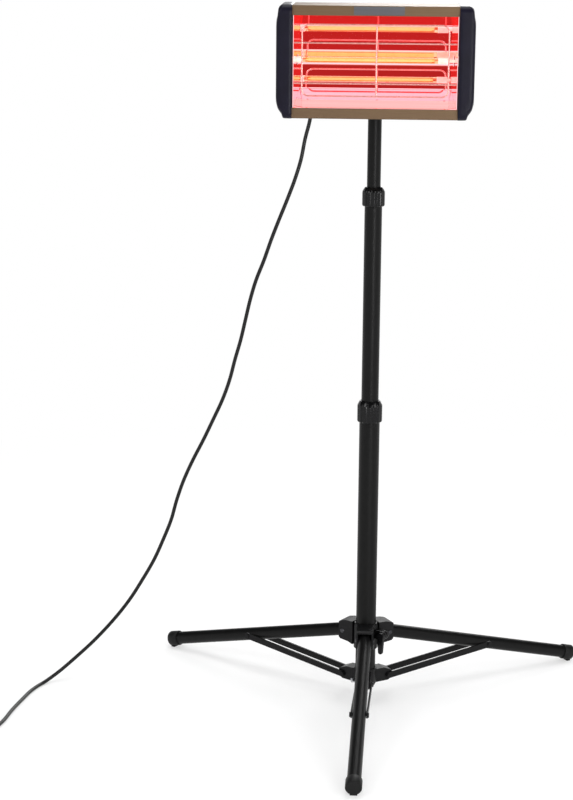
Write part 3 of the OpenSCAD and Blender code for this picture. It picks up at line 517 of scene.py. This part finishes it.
def make_tie():
    turn = math.radians(TIE_ANGLE)
    along = Vector((math.cos(turn), math.sin(turn), 0))
    across = Vector((-math.sin(turn), math.cos(turn), 0))
    middle = (COIL_IN + COIL_R) / 2
    half_wide = (COIL_R - COIL_IN) / 2 + CORD_R + TIE_SIDE_GAP
    half_high = (COIL_HIGH + CORD_R + TIE_TOP_GAP - TIE_BOTTOM) / 2
    points = []
    for k in range(TIE_STEPS):
        angle = 2 * math.pi * k / TIE_STEPS
        r = squared(math.cos(angle)) * half_wide
        z = squared(math.sin(angle)) * half_high
        for y, out in TIE_SECTION:
            scale = 1 + out / TIE_SCALE
            place = Vector((COIL_X, COIL_Y, 0)) + along * (middle + r * scale) + across * y
            height = max(TIE_BOTTOM + half_high + z * scale, TIE_LOWEST)
            points.append(at(place.x, place.y, height))
    faces = []
    count = len(TIE_SECTION)
    for k in range(TIE_STEPS):
        nxt = (k + 1) % TIE_STEPS
        for j in range(count):
            faces.append((k * count + j, k * count + (j + 1) % count,
                          nxt * count + (j + 1) % count, nxt * count + j))
    piece = add_object("cord_tie_band", mesh_from("cord_tie_band", points, faces), TIE_FABRIC,
                       "base")
    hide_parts("coil_tie")
    return piece


# Plug: (radius, distance from the strain relief's tip) of its moulding

PLUG_RELIEF = [(4.4, 0.1), (4.9, 0.6), (5.0, 2.4), (4.5, 3.0), (4.5, 4.4), (5.2, 5.0),
               (5.3, 6.8), (4.8, 7.4), (4.8, 8.8), (5.5, 9.4), (5.7, 11.2), (5.2, 11.8),
               (5.2, 13.2), (6.0, 14.0)]
PLUG_GRIP = [(6.4, 16), (9.0, 19.4), (9.9, 22), (10.1, 24), (9.4, 25), (9.4, 26.6),
             (10.4, 27.6), (10.6, 29.6), (9.9, 30.6), (9.9, 32.2), (11.2, 33.4), (12.4, 36)]
PLUG_HEAD = [(14.2, 39.6), (16.8, 42.4), (18.1, 44.4), (18.5, 46.4), (18.5, 54.6),
             (18.2, 55.5), (17.5, 55.95), (4.0, 55.95), (3.4, 55.0), (0.0, 55.0)]


def make_plug():
    piece = lathe("plug_moulding", PLUG_RELIEF + PLUG_GRIP + PLUG_HEAD,
                  at(PLUG_X, PLUG_Y, PLUG_Z), (0, 1, 0), PLASTIC_BLACK, "base")
    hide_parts("plug_body")
    return piece


def make_cords():
    cord_stretch("cord_at_head", route_path(ROUTE_FIRST, AT_SWIVEL), None,
                 ("head", "swivel"), ["cord_head"])
    cord_stretch("cord_at_swivel", route_path(AT_SWIVEL, AT_TOP), None,
                 ("swivel", "top"), ["cord_swivel"])
    cord_stretch("cord_beside_top", route_path(AT_TOP, AT_MID), None,
                 ("top", "mid"), ["cord_top"])
    cord_stretch("cord_beside_mast", route_path(AT_MID, AT_BASE), None,
                 ("mid", "base"), ["cord_mid"])
    tie = make_tie()
    plug = make_plug()
    path = route_path(AT_BASE, ROUTE_LAST) + coil_path()
    cord_stretch("cord_on_floor", path, "base", None, ["cord_floor", "cord_coil"])


make_cords()


# End caps: smooth hollow mouldings

HEAD_LOW = 1119.5
HEAD_HIGH = 1312.5
CAP_PROUD = 1
CAP_INNER = 143.5
CAP_OUTER = 171
CAP_FRONT = -155
CAP_REAR = -36
CAP_WALL = 2.5
CAP_ROUND = 12
CAP_WINDOW = 24
CAP_CORNER_STEPS = 10
CAP_SIDE_STEPS = 8
CAP_SHARP_ANGLE = 50
LAMP_Y = -100
LAMP_Z = 1217
# Distance from the mast, how far the top drops, how far the bottom rises, how far it draws in
CAP_STATIONS = [
    (143.5, 0.5, 0.5, 0.5), (144.0, 0.0, 0.0, 0.0), (150.0, 0.0, 0.0, 0.0),
    (156.5, 0.0, 0.2, 0.0), (159.0, 0.0, 1.2, 0.0), (160.2, 0.2, 4.5, 0.0),
    (161.5, 0.5, 8.2, 0.0), (163.5, 1.5, 10.8, 0.0), (165.5, 3.0, 13.6, 0.2),
    (167.0, 5.2, 15.8, 0.5), (168.0, 8.5, 17.6, 0.9), (168.6, 14.0, 19.5, 1.3),
    (169.2, 19.0, 21.8, 1.8), (170.2, 22.6, 25.0, 2.8), (170.8, 25.0, 27.6, 4.0),
    (171.0, 27.0, 29.5, 5.5),
]
# The same four measures where the hollow ends
CAP_HOLLOW_END = (168.5, 14.0, 19.0, 4.0)


def cap_ring(drop, rise, draw, inset):
    """Outline of an end cap seen from its side, as (y, z) points round its rounded corners."""
    front = CAP_FRONT + draw + inset
    rear = CAP_REAR - draw - inset
    low = HEAD_LOW - CAP_PROUD + rise + inset
    high = HEAD_HIGH + CAP_PROUD - drop - inset
    radius = CAP_ROUND - inset
    corners = [(rear - radius, high - radius, 0), (front + radius, high - radius, 90),
               (front + radius, low + radius, 180), (rear - radius, low + radius, 270)]
    ring = []
    for y, z, start in corners:
        for k in range(CAP_CORNER_STEPS + 1):
            angle = math.radians(start + 90 * k / CAP_CORNER_STEPS)
            ring.append((y + radius * math.cos(angle), z + radius * math.sin(angle)))
        following = math.radians(start + 90)
        end = ring[-1]
        nxt = corners[(start // 90 + 1) % 4]
        target = (nxt[0] + radius * math.cos(following), nxt[1] + radius * math.sin(following))
        for k in range(1, CAP_SIDE_STEPS):
            ring.append((end[0] + (target[0] - end[0]) * k / CAP_SIDE_STEPS,
                         end[1] + (target[1] - end[1]) * k / CAP_SIDE_STEPS))
    return ring


def window_ring(ring):
    """The lamp's square window, with a point for each point of the outline."""
    made = []
    for y, z in ring:
        reach = CAP_WINDOW / max(abs(y - LAMP_Y), abs(z - LAMP_Z))
        made.append((LAMP_Y + (y - LAMP_Y) * reach, LAMP_Z + (z - LAMP_Z) * reach))
    return made


def make_end_cap(side, node):
    """Rings from the hollow's end out through the window and round the outside."""
    inner_x = CAP_INNER + CAP_WALL
    hollow = [s for s in CAP_STATIONS if inner_x < s[0] < CAP_OUTER - CAP_WALL]
    first = cap_ring(0, 0, 0, CAP_WALL)
    rings = []
    for x, drop, rise, draw in [CAP_HOLLOW_END] + hollow[::-1]:
        rings.append((x, cap_ring(drop, rise, draw, CAP_WALL)))
    rings.append((inner_x, first))
    rings.append((inner_x, window_ring(first)))
    rings.append((CAP_INNER, window_ring(first)))
    for x, drop, rise, draw in CAP_STATIONS:
        rings.append((x, cap_ring(drop, rise, draw, 0)))
    count = len(first)
    points = [at(side * x, y, z) for x, ring in rings for y, z in ring]
    faces = ring_faces(len(rings), count)
    faces.append(tuple(range(count)))
    last = (len(rings) - 1) * count
    faces.append(tuple(last + k for k in range(count)))
    mesh = mesh_from(node, points, faces, sharp_angle=CAP_SHARP_ANGLE)
    piece = add_object(node + "_moulding", mesh, NAVY, "head")
    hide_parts(node)


make_end_cap(-1, "end_cap_left")
make_end_cap(1, "end_cap_right")


# Reflector: one folded sheet with rounded folds, between two slanted ends

# (y, z) of the folds, from the lower lip round to the upper lip
FOLDS = [(-147.4, 1137.6), (-67.5, 1165), (-48, 1210), (-48.5, 1230), (-73, 1276),
         (-147.4, 1295.4)]
# How far from each fold its arc begins
FOLD_REACH = [0, 2, 1.5, 1.5, 2, 0]
FOLD_STEPS = 5
SHEET = 0.9
SHEET_GAP = 0.05
SHEET_COLUMNS = 24
END_SLANT = 10
REFLECTOR_HALF = 141
REFLECTOR_FRONT = -147.5
REFLECTOR_REAR = -46


def reflector_half(y):
    return REFLECTOR_HALF - END_SLANT * (y - REFLECTOR_FRONT) / (REFLECTOR_REAR - REFLECTOR_FRONT)


def fold_path():
    """The facets with an arc at each fold, as (y, z, facet) points."""
    made = []
    for i, (y, z) in enumerate(FOLDS):
        here = Vector((y, z))
        if FOLD_REACH[i] == 0:
            made.append((y, z, min(i, len(FOLDS) - 2)))
            continue
        before = (Vector(FOLDS[i - 1]) - here).normalized()
        after = (Vector(FOLDS[i + 1]) - here).normalized()
        start = here + before * FOLD_REACH[i]
        end = here + after * FOLD_REACH[i]
        for k in range(FOLD_STEPS + 1):
            t = k / FOLD_STEPS
            p = start * (1 - t) ** 2 + here * 2 * t * (1 - t) + end * t ** 2
            made.append((p.x, p.y, i - 1 if k <= FOLD_STEPS // 2 else i))
    return made


def make_reflector():
    path = fold_path()
    inner = [Vector((y, z)) for y, z, facet in path]
    facet_of = [facet for y, z, facet in path]
    outer = []
    for k, p in enumerate(inner):
        along = (inner[min(k + 1, len(inner) - 1)] - inner[max(k - 1, 0)]).normalized()
        outer.append(p + Vector((along.y, -along.x)) * SHEET)
    loop = inner + outer[::-1]
    count = len(loop)
    far = count - 1
    points = []
    for j in range(SHEET_COLUMNS + 1):
        for p in loop:
            half = reflector_half(min(max(p.x, REFLECTOR_FRONT), REFLECTOR_REAR)) - SHEET_GAP
            points.append(at(half * (2 * j / SHEET_COLUMNS - 1), p.x, p.y))
    faces = []
    facets = []
    for j in range(SHEET_COLUMNS):
        for k in range(count):
            nxt = (k + 1) % count
            faces.append((j * count + k, j * count + nxt, (j + 1) * count + nxt,
                          (j + 1) * count + k))
            facets.append(facet_of[k] if k < len(inner) - 1 else 0)
    for k in range(len(inner) - 1):
        for j in (0, SHEET_COLUMNS):
            faces.append((j * count + k, j * count + k + 1, j * count + far - k - 1,
                          j * count + far - k))
            facets.append(0)
    mesh = mesh_from("reflector_sheet", points, faces, smooth=False)
    piece = add_object("reflector_sheet", mesh, None, "head")
    for material in MIRRORS:
        mesh.materials.append(material)
    for polygon in mesh.polygons:
        polygon.material_index = facets[polygon.index]
    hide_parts("reflector")


make_reflector()


# Guard: a rounded wire frame with an upright and two long wires welded behind it

WIRE_R = 1.4
WIRE_STEPS = 12
WIRE_END_GAP = 0.6
GUARD_Y = -143
GUARD_X = 126.5
GUARD_LOW = 1158
GUARD_HIGH = 1280
GUARD_ROUND = 12
UPRIGHT_X = 2
LONG_WIRES = (1179.5, 1248.6)
LONG_WIRES_BEHIND = 1.2


def guard_loop():
    corners = [(GUARD_X - GUARD_ROUND, GUARD_HIGH - GUARD_ROUND, 0),
               (-GUARD_X + GUARD_ROUND, GUARD_HIGH - GUARD_ROUND, 90),
               (-GUARD_X + GUARD_ROUND, GUARD_LOW + GUARD_ROUND, 180),
               (GUARD_X - GUARD_ROUND, GUARD_LOW + GUARD_ROUND, 270)]
    loop = []
    for x, z, start in corners:
        for k in range(WIRE_STEPS + 1):
            angle = math.radians(start + 90 * k / WIRE_STEPS)
            loop.append(at(x + GUARD_ROUND * math.cos(angle), GUARD_Y,
                           z + GUARD_ROUND * math.sin(angle)))
    return loop


def make_guard():
    frame_mesh = tube_mesh("guard_frame", guard_loop(), WIRE_R / MILLIMETRES, closed=True)
    pieces = [add_object("guard_frame", frame_mesh, GUARD_WIRE_PAINTED_GLOW, "head")]
    half = reflector_half(GUARD_Y) - WIRE_END_GAP
    runs = [("guard_upright", (UPRIGHT_X, GUARD_Y, GUARD_LOW), (UPRIGHT_X, GUARD_Y, GUARD_HIGH))]
    for name, z in zip(("guard_wire_low", "guard_wire_high"), LONG_WIRES):
        y = GUARD_Y + LONG_WIRES_BEHIND
        runs.append((name, (-half, y, z), (half, y, z)))
    for name, start, end in runs:
        path = [at(*(Vector(start).lerp(Vector(end), k / WIRE_STEPS)))
                for k in range(WIRE_STEPS + 1)]
        wire = tube_mesh(name, path, WIRE_R / MILLIMETRES)
        pieces.append(add_object(name, wire, GUARD_WIRE_PAINTED_GLOW, "head"))
    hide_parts("guard")


make_guard()


# Lamp: a wound filament held in its tube by small discs

GLASS_LOW = -128
GLASS_LENGTH = 237
FILAMENT_INSET = 7
CORE_R = 2.4
CORE_PITCH = 2.4
CORE_GROOVE = 0.5
CORE_SLOPE = 0.4
STEM_R = 1.2
STEM_LENGTH = 4
FILAMENT_SIDES = 20
FILAMENT_SHARP_ANGLE = 80
HOLD_EVERY = 13.6
# Section of a disc as a closed loop of (radius, distance from its middle)
HOLD_DISC = [(1.9, -0.25), (3.4, -0.25), (3.4, 0.25), (1.9, 0.25), (1.9, -0.25)]


def make_filament():
    start = GLASS_LOW + FILAMENT_INSET
    length = GLASS_LENGTH - 2 * FILAMENT_INSET
    profile = [(0.0, 0.0), (STEM_R, 0.0), (STEM_R, STEM_LENGTH)]
    for k in range(int((length - 2 * STEM_LENGTH) / CORE_PITCH)):
        low = STEM_LENGTH + k * CORE_PITCH
        profile += [(CORE_R - CORE_GROOVE, low), (CORE_R, low + CORE_PITCH * 0.5)]
    profile += [(CORE_R - CORE_GROOVE, length - STEM_LENGTH),
                (STEM_R, length - STEM_LENGTH + CORE_SLOPE), (STEM_R, length), (0.0, length)]
    coil = lathe("filament_coil", profile, at(start, LAMP_Y, LAMP_Z), (1, 0, 0), FILAMENT,
                 "head", sides=FILAMENT_SIDES, sharp_angle=FILAMENT_SHARP_ANGLE)
    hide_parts("lamp_filament")
    holds = int(length / HOLD_EVERY)
    for k in range(1, holds):
        place = at(start + k * length / holds, LAMP_Y, LAMP_Z)
        ring = lathe("filament_hold_%d" % k, HOLD_DISC, place, (1, 0, 0), FILAMENT_HOLD,
                     "head", sides=FILAMENT_SIDES)


make_filament()


# Twist locks: fluted rings with a sloped shoulder

LOCK_FLUTES = 14
FLUTE_SIDES = 14
FLUTE_DEPTH = 1.15
FLUTE_SHARE = 0.62
FLUTE_CURVE = 0.8
LOCK_SHOULDER = 9
LOCK_SHARP_ANGLE = 40
# Height of the tube's flange inside a lock, with the gap above it
FLANGE_ROOM = 4.3


def lock_shape(r, z0, h, lower_r, upper_r, step_z):
    """(radius, height, share of the flute) rows of a lock, from its bore round the outside."""
    top = z0 + h
    shoulder = top - LOCK_SHOULDER
    return [(lower_r + 0.1, step_z, 0), (lower_r + 0.1, z0 + 0.6, 0), (lower_r + 0.7, z0, 0),
            (r - 2.8, z0, 0.2), (r - 1.6, z0 + 0.3, 0.5), (r - 0.6, z0 + 1.1, 0.9),
            (r - 0.1, z0 + 2.3, 1), (r, z0 + 3.2, 1), (r, shoulder - 2.2, 1),
            (r - 0.1, shoulder - 0.8, 1), (r - 0.6, shoulder + 0.7, 0.9),
            (r - 1.3, shoulder + 2.2, 0.5), (r - 1.8, shoulder + 3.2, 0.1),
            (upper_r + 3.0, top - 0.7, 0), (upper_r + 2.4, top - 0.1, 0),
            (upper_r + 0.9, top - 0.1, 0), (upper_r + 0.4, top - 0.6, 0),
            (upper_r + 0.4, step_z, 0)]


def make_lock(node, body, r, z0, h, lower_r, upper_r, rim_z):
    sides = LOCK_FLUTES * FLUTE_SIDES
    shape = lock_shape(r, z0, h, lower_r, upper_r, rim_z + FLANGE_ROOM)
    rows = len(shape)
    points = []
    for radius, z, share in shape:
        for k in range(sides):
            angle = 2 * math.pi * k / sides
            wave = abs(math.sin(LOCK_FLUTES * angle / 2))
            cut = FLUTE_DEPTH * share * max(0.0, 1 - wave / FLUTE_SHARE) ** FLUTE_CURVE
            points.append(at((radius - cut) * math.cos(angle), (radius - cut) * math.sin(angle),
                             z))
    faces = []
    for j in range(rows):
        for k in range(sides):
            nxt = (k + 1) % sides
            other = (j + 1) % rows
            faces.append((j * sides + k, j * sides + nxt, other * sides + nxt,
                          other * sides + k))
    mesh = mesh_from(node, points, faces, sharp_angle=LOCK_SHARP_ANGLE)
    piece = add_object(node + "_ring", mesh, LOCK_BLACK, body)
    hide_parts(node)


make_lock("lower_lock", "lower_lock_ring", r=23.4, z0=543.5, h=40.7, lower_r=19, upper_r=16,
          rim_z=572)
make_lock("upper_lock", "upper_lock_ring", r=20.8, z0=947.7, h=35.5, lower_r=16, upper_r=12.5,
          rim_z=970)


# Leg pins with domed heads, across the upper hub's channels

LEG_PIVOT_R = 44
LEG_PIVOT_Z = 126
TRIPOD_TURN = -1.55
# (radius, distance from the pin's middle) of a domed head, and of the shank under it
PIN_HEAD = [(0.0, 18.0), (1.0, 17.95), (2.2, 17.65), (3.3, 17.1), (4.1, 16.5), (4.45, 16.05)]
PIN_SHANK = [(3.0, 16.0)]


def make_leg_pin(node, azimuth):
    angle = math.radians(azimuth + TRIPOD_TURN)
    outwards = Vector((math.cos(angle), math.sin(angle), 0))
    across = Vector((-math.sin(angle), math.cos(angle), 0))
    middle = Vector((0, 0, LEG_PIVOT_Z)) + outwards * LEG_PIVOT_R
    half = PIN_HEAD + PIN_SHANK
    profile = half + [(r, -z) for r, z in half[::-1]]
    piece = lathe(node + "_rivet", profile, at(middle.x, middle.y, middle.z), across, PIN_ZINC,
                  "hub", sides=32)
    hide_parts(node)


make_leg_pin("leg_pin_front", -90)
make_leg_pin("leg_pin_right", 30)
make_leg_pin("leg_pin_left", 150)


# Cable gland: a flanged nut with a ribbed boot

GLAND_AT = (-112, -38, 1150)
GLAND_NUT = [(0.0, -4.0), (5.9, -4.0), (5.9, 0.1), (9.6, 0.1), (10.0, 0.5), (10.0, 5.4),
             (9.4, 6.1), (7.9, 7.2)]
BOOT_TIP = [(4.9, 30.0), (4.6, 31.6), (4.2, 32.0), (0.0, 32.0)]
BOOT_START = 8.0
BOOT_R = 7.2
BOOT_RIBS = 6
RIB_PITCH = 3.6
# How much thinner each rib is than the one before it
RIB_TAPER = 0.38


def make_gland():
    profile = list(GLAND_NUT)
    for k in range(BOOT_RIBS):
        low = BOOT_START + k * RIB_PITCH
        wide = BOOT_R - k * RIB_TAPER
        profile += [(wide - 0.9, low), (wide, low + 0.5), (wide - 0.1, low + 2.2),
                    (wide - 1.0, low + 2.7)]
    piece = lathe("cable_boot", profile + BOOT_TIP, at(*GLAND_AT), (0, 1, 0), RUBBER_BLACK,
                  "head", sides=40)
    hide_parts("cable_gland")


make_gland()


# Materials and softened edges of the CAD parts that stay

BEVEL_ANGLE = 40
BEVEL_SEGMENTS = 2
STAYING = {
    SATIN_BLACK: ["outer_tube", "mid_tube", "top_tube", "leg_front", "leg_right", "leg_left"],
    PLASTIC_BLACK: ["lower_collet", "upper_collet", "mid_bush", "top_bush", "lower_hub",
                    "upper_hub", "hub_lever", "swivel_boss", "swivel_screw", "tilt_knob"],
    RUBBER_BLACK: ["foot_front", "foot_right", "foot_left"],
    BAR_BLACK: ["brace_front", "brace_right", "brace_left", "tilt_bracket"],
    ZINC: ["lower_hub_screw", "tilt_pin"],
    BRONZE: ["head_shell"],
    MIRROR_END: ["reflector_end_left", "reflector_end_right"],
    CERAMIC_PAINTED_GLOW: ["lamp_end_left", "lamp_end_right", "lamp_holder_left", "lamp_holder_right",
              "terminal_block"],
    SLEEVE: ["lead_long", "lead_short"],
    LABEL: ["label_plate"],
    SWITCH_BLACK: ["switch_bezel"],
    SWITCH_RED: ["switch_rocker"],
    NICKEL: ["plug_prong_left", "plug_prong_right"],
    QUARTZ: ["lamp_glass"],
}
# Width of the softened edges in millimetres, and the parts that have them
EDGES = {
    0.15: ["label_plate"],
    0.25: ["head_shell"],
    0.4: ["brace_front", "brace_right", "brace_left", "switch_bezel", "switch_rocker"],
    0.5: ["lower_collet", "upper_collet", "tilt_bracket", "swivel_screw", "lamp_end_left",
          "lamp_end_right"],
    0.6: ["hub_lever", "tilt_pin", "lamp_holder_left", "lamp_holder_right", "terminal_block",
          "plug_prong_left", "plug_prong_right"],
    0.7: ["foot_front", "foot_right", "foot_left", "lower_hub_screw"],
    0.8: ["upper_hub", "lower_hub", "tilt_knob", "swivel_boss"],
}


def soften(node, width):
    weld = node.modifiers.new("weld", "WELD")
    weld.merge_threshold = MERGE_DISTANCE
    bevel = node.modifiers.new("edge", "BEVEL")
    bevel.width = width / MILLIMETRES
    bevel.segments = BEVEL_SEGMENTS
    bevel.limit_method = "ANGLE"
    bevel.angle_limit = math.radians(BEVEL_ANGLE)
    bevel.harden_normals = True


for material, names in STAYING.items():
    for name in names:
        slots = NODES[name].data.materials
        slots.clear()
        slots.append(material)
for width, names in EDGES.items():
    for name in names:
        soften(NODES[name], width)


# Studio: pale floor, white surroundings, soft lamps

# Surroundings are white up to this height of a ray's direction, and dark above the next
SKY_WHITE = 0.27
SKY_DARK = 0.33
SKY_DARK_LEVEL = 0.01
SKY_LIGHT = 0.45
FLOOR_HALF = 14.0
FLOOR_GREY = 0.86
FLOOR_ROUGHNESS = 0.9
FLOOR_DROP = 0.0004
# Distances in metres from and up to which the floor's own white takes over from its shading
GLOW_START = 0.6
GLOW_FULL = 2.2
GLOW_SHARE = 0.5
# Name, place, target, size and power of each lamp, in metres and watts
LAMPS = [
    ("key_left", (-2.6, -2.2, 3.0), (0, 0, 0.7), (1.6, 1.6), 50),
    ("fill_right", (2.8, -1.6, 2.4), (0, 0, 0.7), (1.6, 1.6), 35),
    ("strip_front", (1.1, -3.0, 0.95), (0, 0.1, 0.6), (0.4, 1.9), 38),
    ("top", (0, 0.6, 4.0), (0, 0, 0.0), (2.4, 2.4), 70),
    ("rear", (0.6, 3.2, 2.2), (0, 0, 0.8), (1.6, 1.6), 50),
]


def camera_side(tree):
    """1 for what the camera, a mirror or glass sees, and 0 for what lights a surface."""
    path = add_node(tree, "ShaderNodeLightPath")
    first = add_node(tree, "ShaderNodeMath", {0: path.outputs["Is Camera Ray"],
                                              1: path.outputs["Is Glossy Ray"]},
                     operation="MAXIMUM")
    second = add_node(tree, "ShaderNodeMath", {0: first.outputs[0],
                                               1: path.outputs["Is Transmission Ray"]},
                      operation="MAXIMUM")
    return second.outputs[0]


def make_world():
    world = bpy.data.worlds.new("studio")
    world.use_nodes = True
    SCENE.world = world
    tree = world.node_tree
    background = tree.nodes["Background"]
    background.inputs["Color"].default_value = (1, 1, 1, 1)
    direction = add_node(tree, "ShaderNodeTexCoord")
    split = add_node(tree, "ShaderNodeSeparateXYZ", {"Vector": direction.outputs["Generated"]})
    seen = remap(tree, split.outputs["Z"], SKY_WHITE, SKY_DARK, 1.0, SKY_DARK_LEVEL)
    strength = add_node(tree, "ShaderNodeMix", {NUMBER_FACTOR: camera_side(tree),
                                                NUMBER_FIRST: SKY_LIGHT, NUMBER_SECOND: seen},
                        data_type="FLOAT")
    tree.links.new(strength.outputs[0], background.inputs["Strength"])


def make_floor():
    corners = [(-FLOOR_HALF, -FLOOR_HALF, 0), (FLOOR_HALF, -FLOOR_HALF, 0),
               (FLOOR_HALF, FLOOR_HALF, 0), (-FLOOR_HALF, FLOOR_HALF, 0)]
    mesh = mesh_from("floor", corners, [(0, 1, 2, 3)])
    material = bpy.data.materials.new("floor_white")
    material.use_nodes = True
    tree = material.node_tree
    shader = tree.nodes["Principled BSDF"]
    shader.inputs["Base Color"].default_value = (FLOOR_GREY, FLOOR_GREY, FLOOR_GREY, 1)
    shader.inputs["Roughness"].default_value = FLOOR_ROUGHNESS
    shader.inputs["Specular IOR Level"].default_value = 0.0
    glow = add_node(tree, "ShaderNodeEmission", {"Color": (1, 1, 1, 1), "Strength": 1.0})
    place = add_node(tree, "ShaderNodeTexCoord")
    distance = add_node(tree, "ShaderNodeVectorMath", {0: place.outputs["Object"]},
                        operation="LENGTH")
    outwards = remap(tree, distance.outputs["Value"], GLOW_START, GLOW_FULL, GLOW_SHARE, 1.0)
    share = add_node(tree, "ShaderNodeMath", {0: camera_side(tree), 1: outwards},
                     operation="MULTIPLY")
    mix = add_node(tree, "ShaderNodeMixShader")
    tree.links.new(share.outputs[0], mix.inputs[0])
    tree.links.new(shader.outputs[0], mix.inputs[1])
    tree.links.new(glow.outputs[0], mix.inputs[2])
    tree.links.new(mix.outputs[0], tree.nodes["Material Output"].inputs["Surface"])
    floor = add_object("floor", mesh, material, None)
    floor.location.z = -FLOOR_DROP


def soft_lamp(name, place, target, size, power):
    data = bpy.data.lights.new(name, "AREA")
    data.shape = "RECTANGLE"
    data.size = size[0]
    data.size_y = size[1]
    data.energy = power
    lamp = bpy.data.objects.new(name, data)
    SCENE.collection.objects.link(lamp)
    lamp.location = place
    aim = Vector(target) - Vector(place)
    lamp.rotation_mode = "QUATERNION"
    lamp.rotation_quaternion = aim.to_track_quat("-Z", "Y")


make_world()
make_floor()
for lamp_row in LAMPS:
    soft_lamp(*lamp_row)
SCENE.view_settings.view_transform = "Standard"
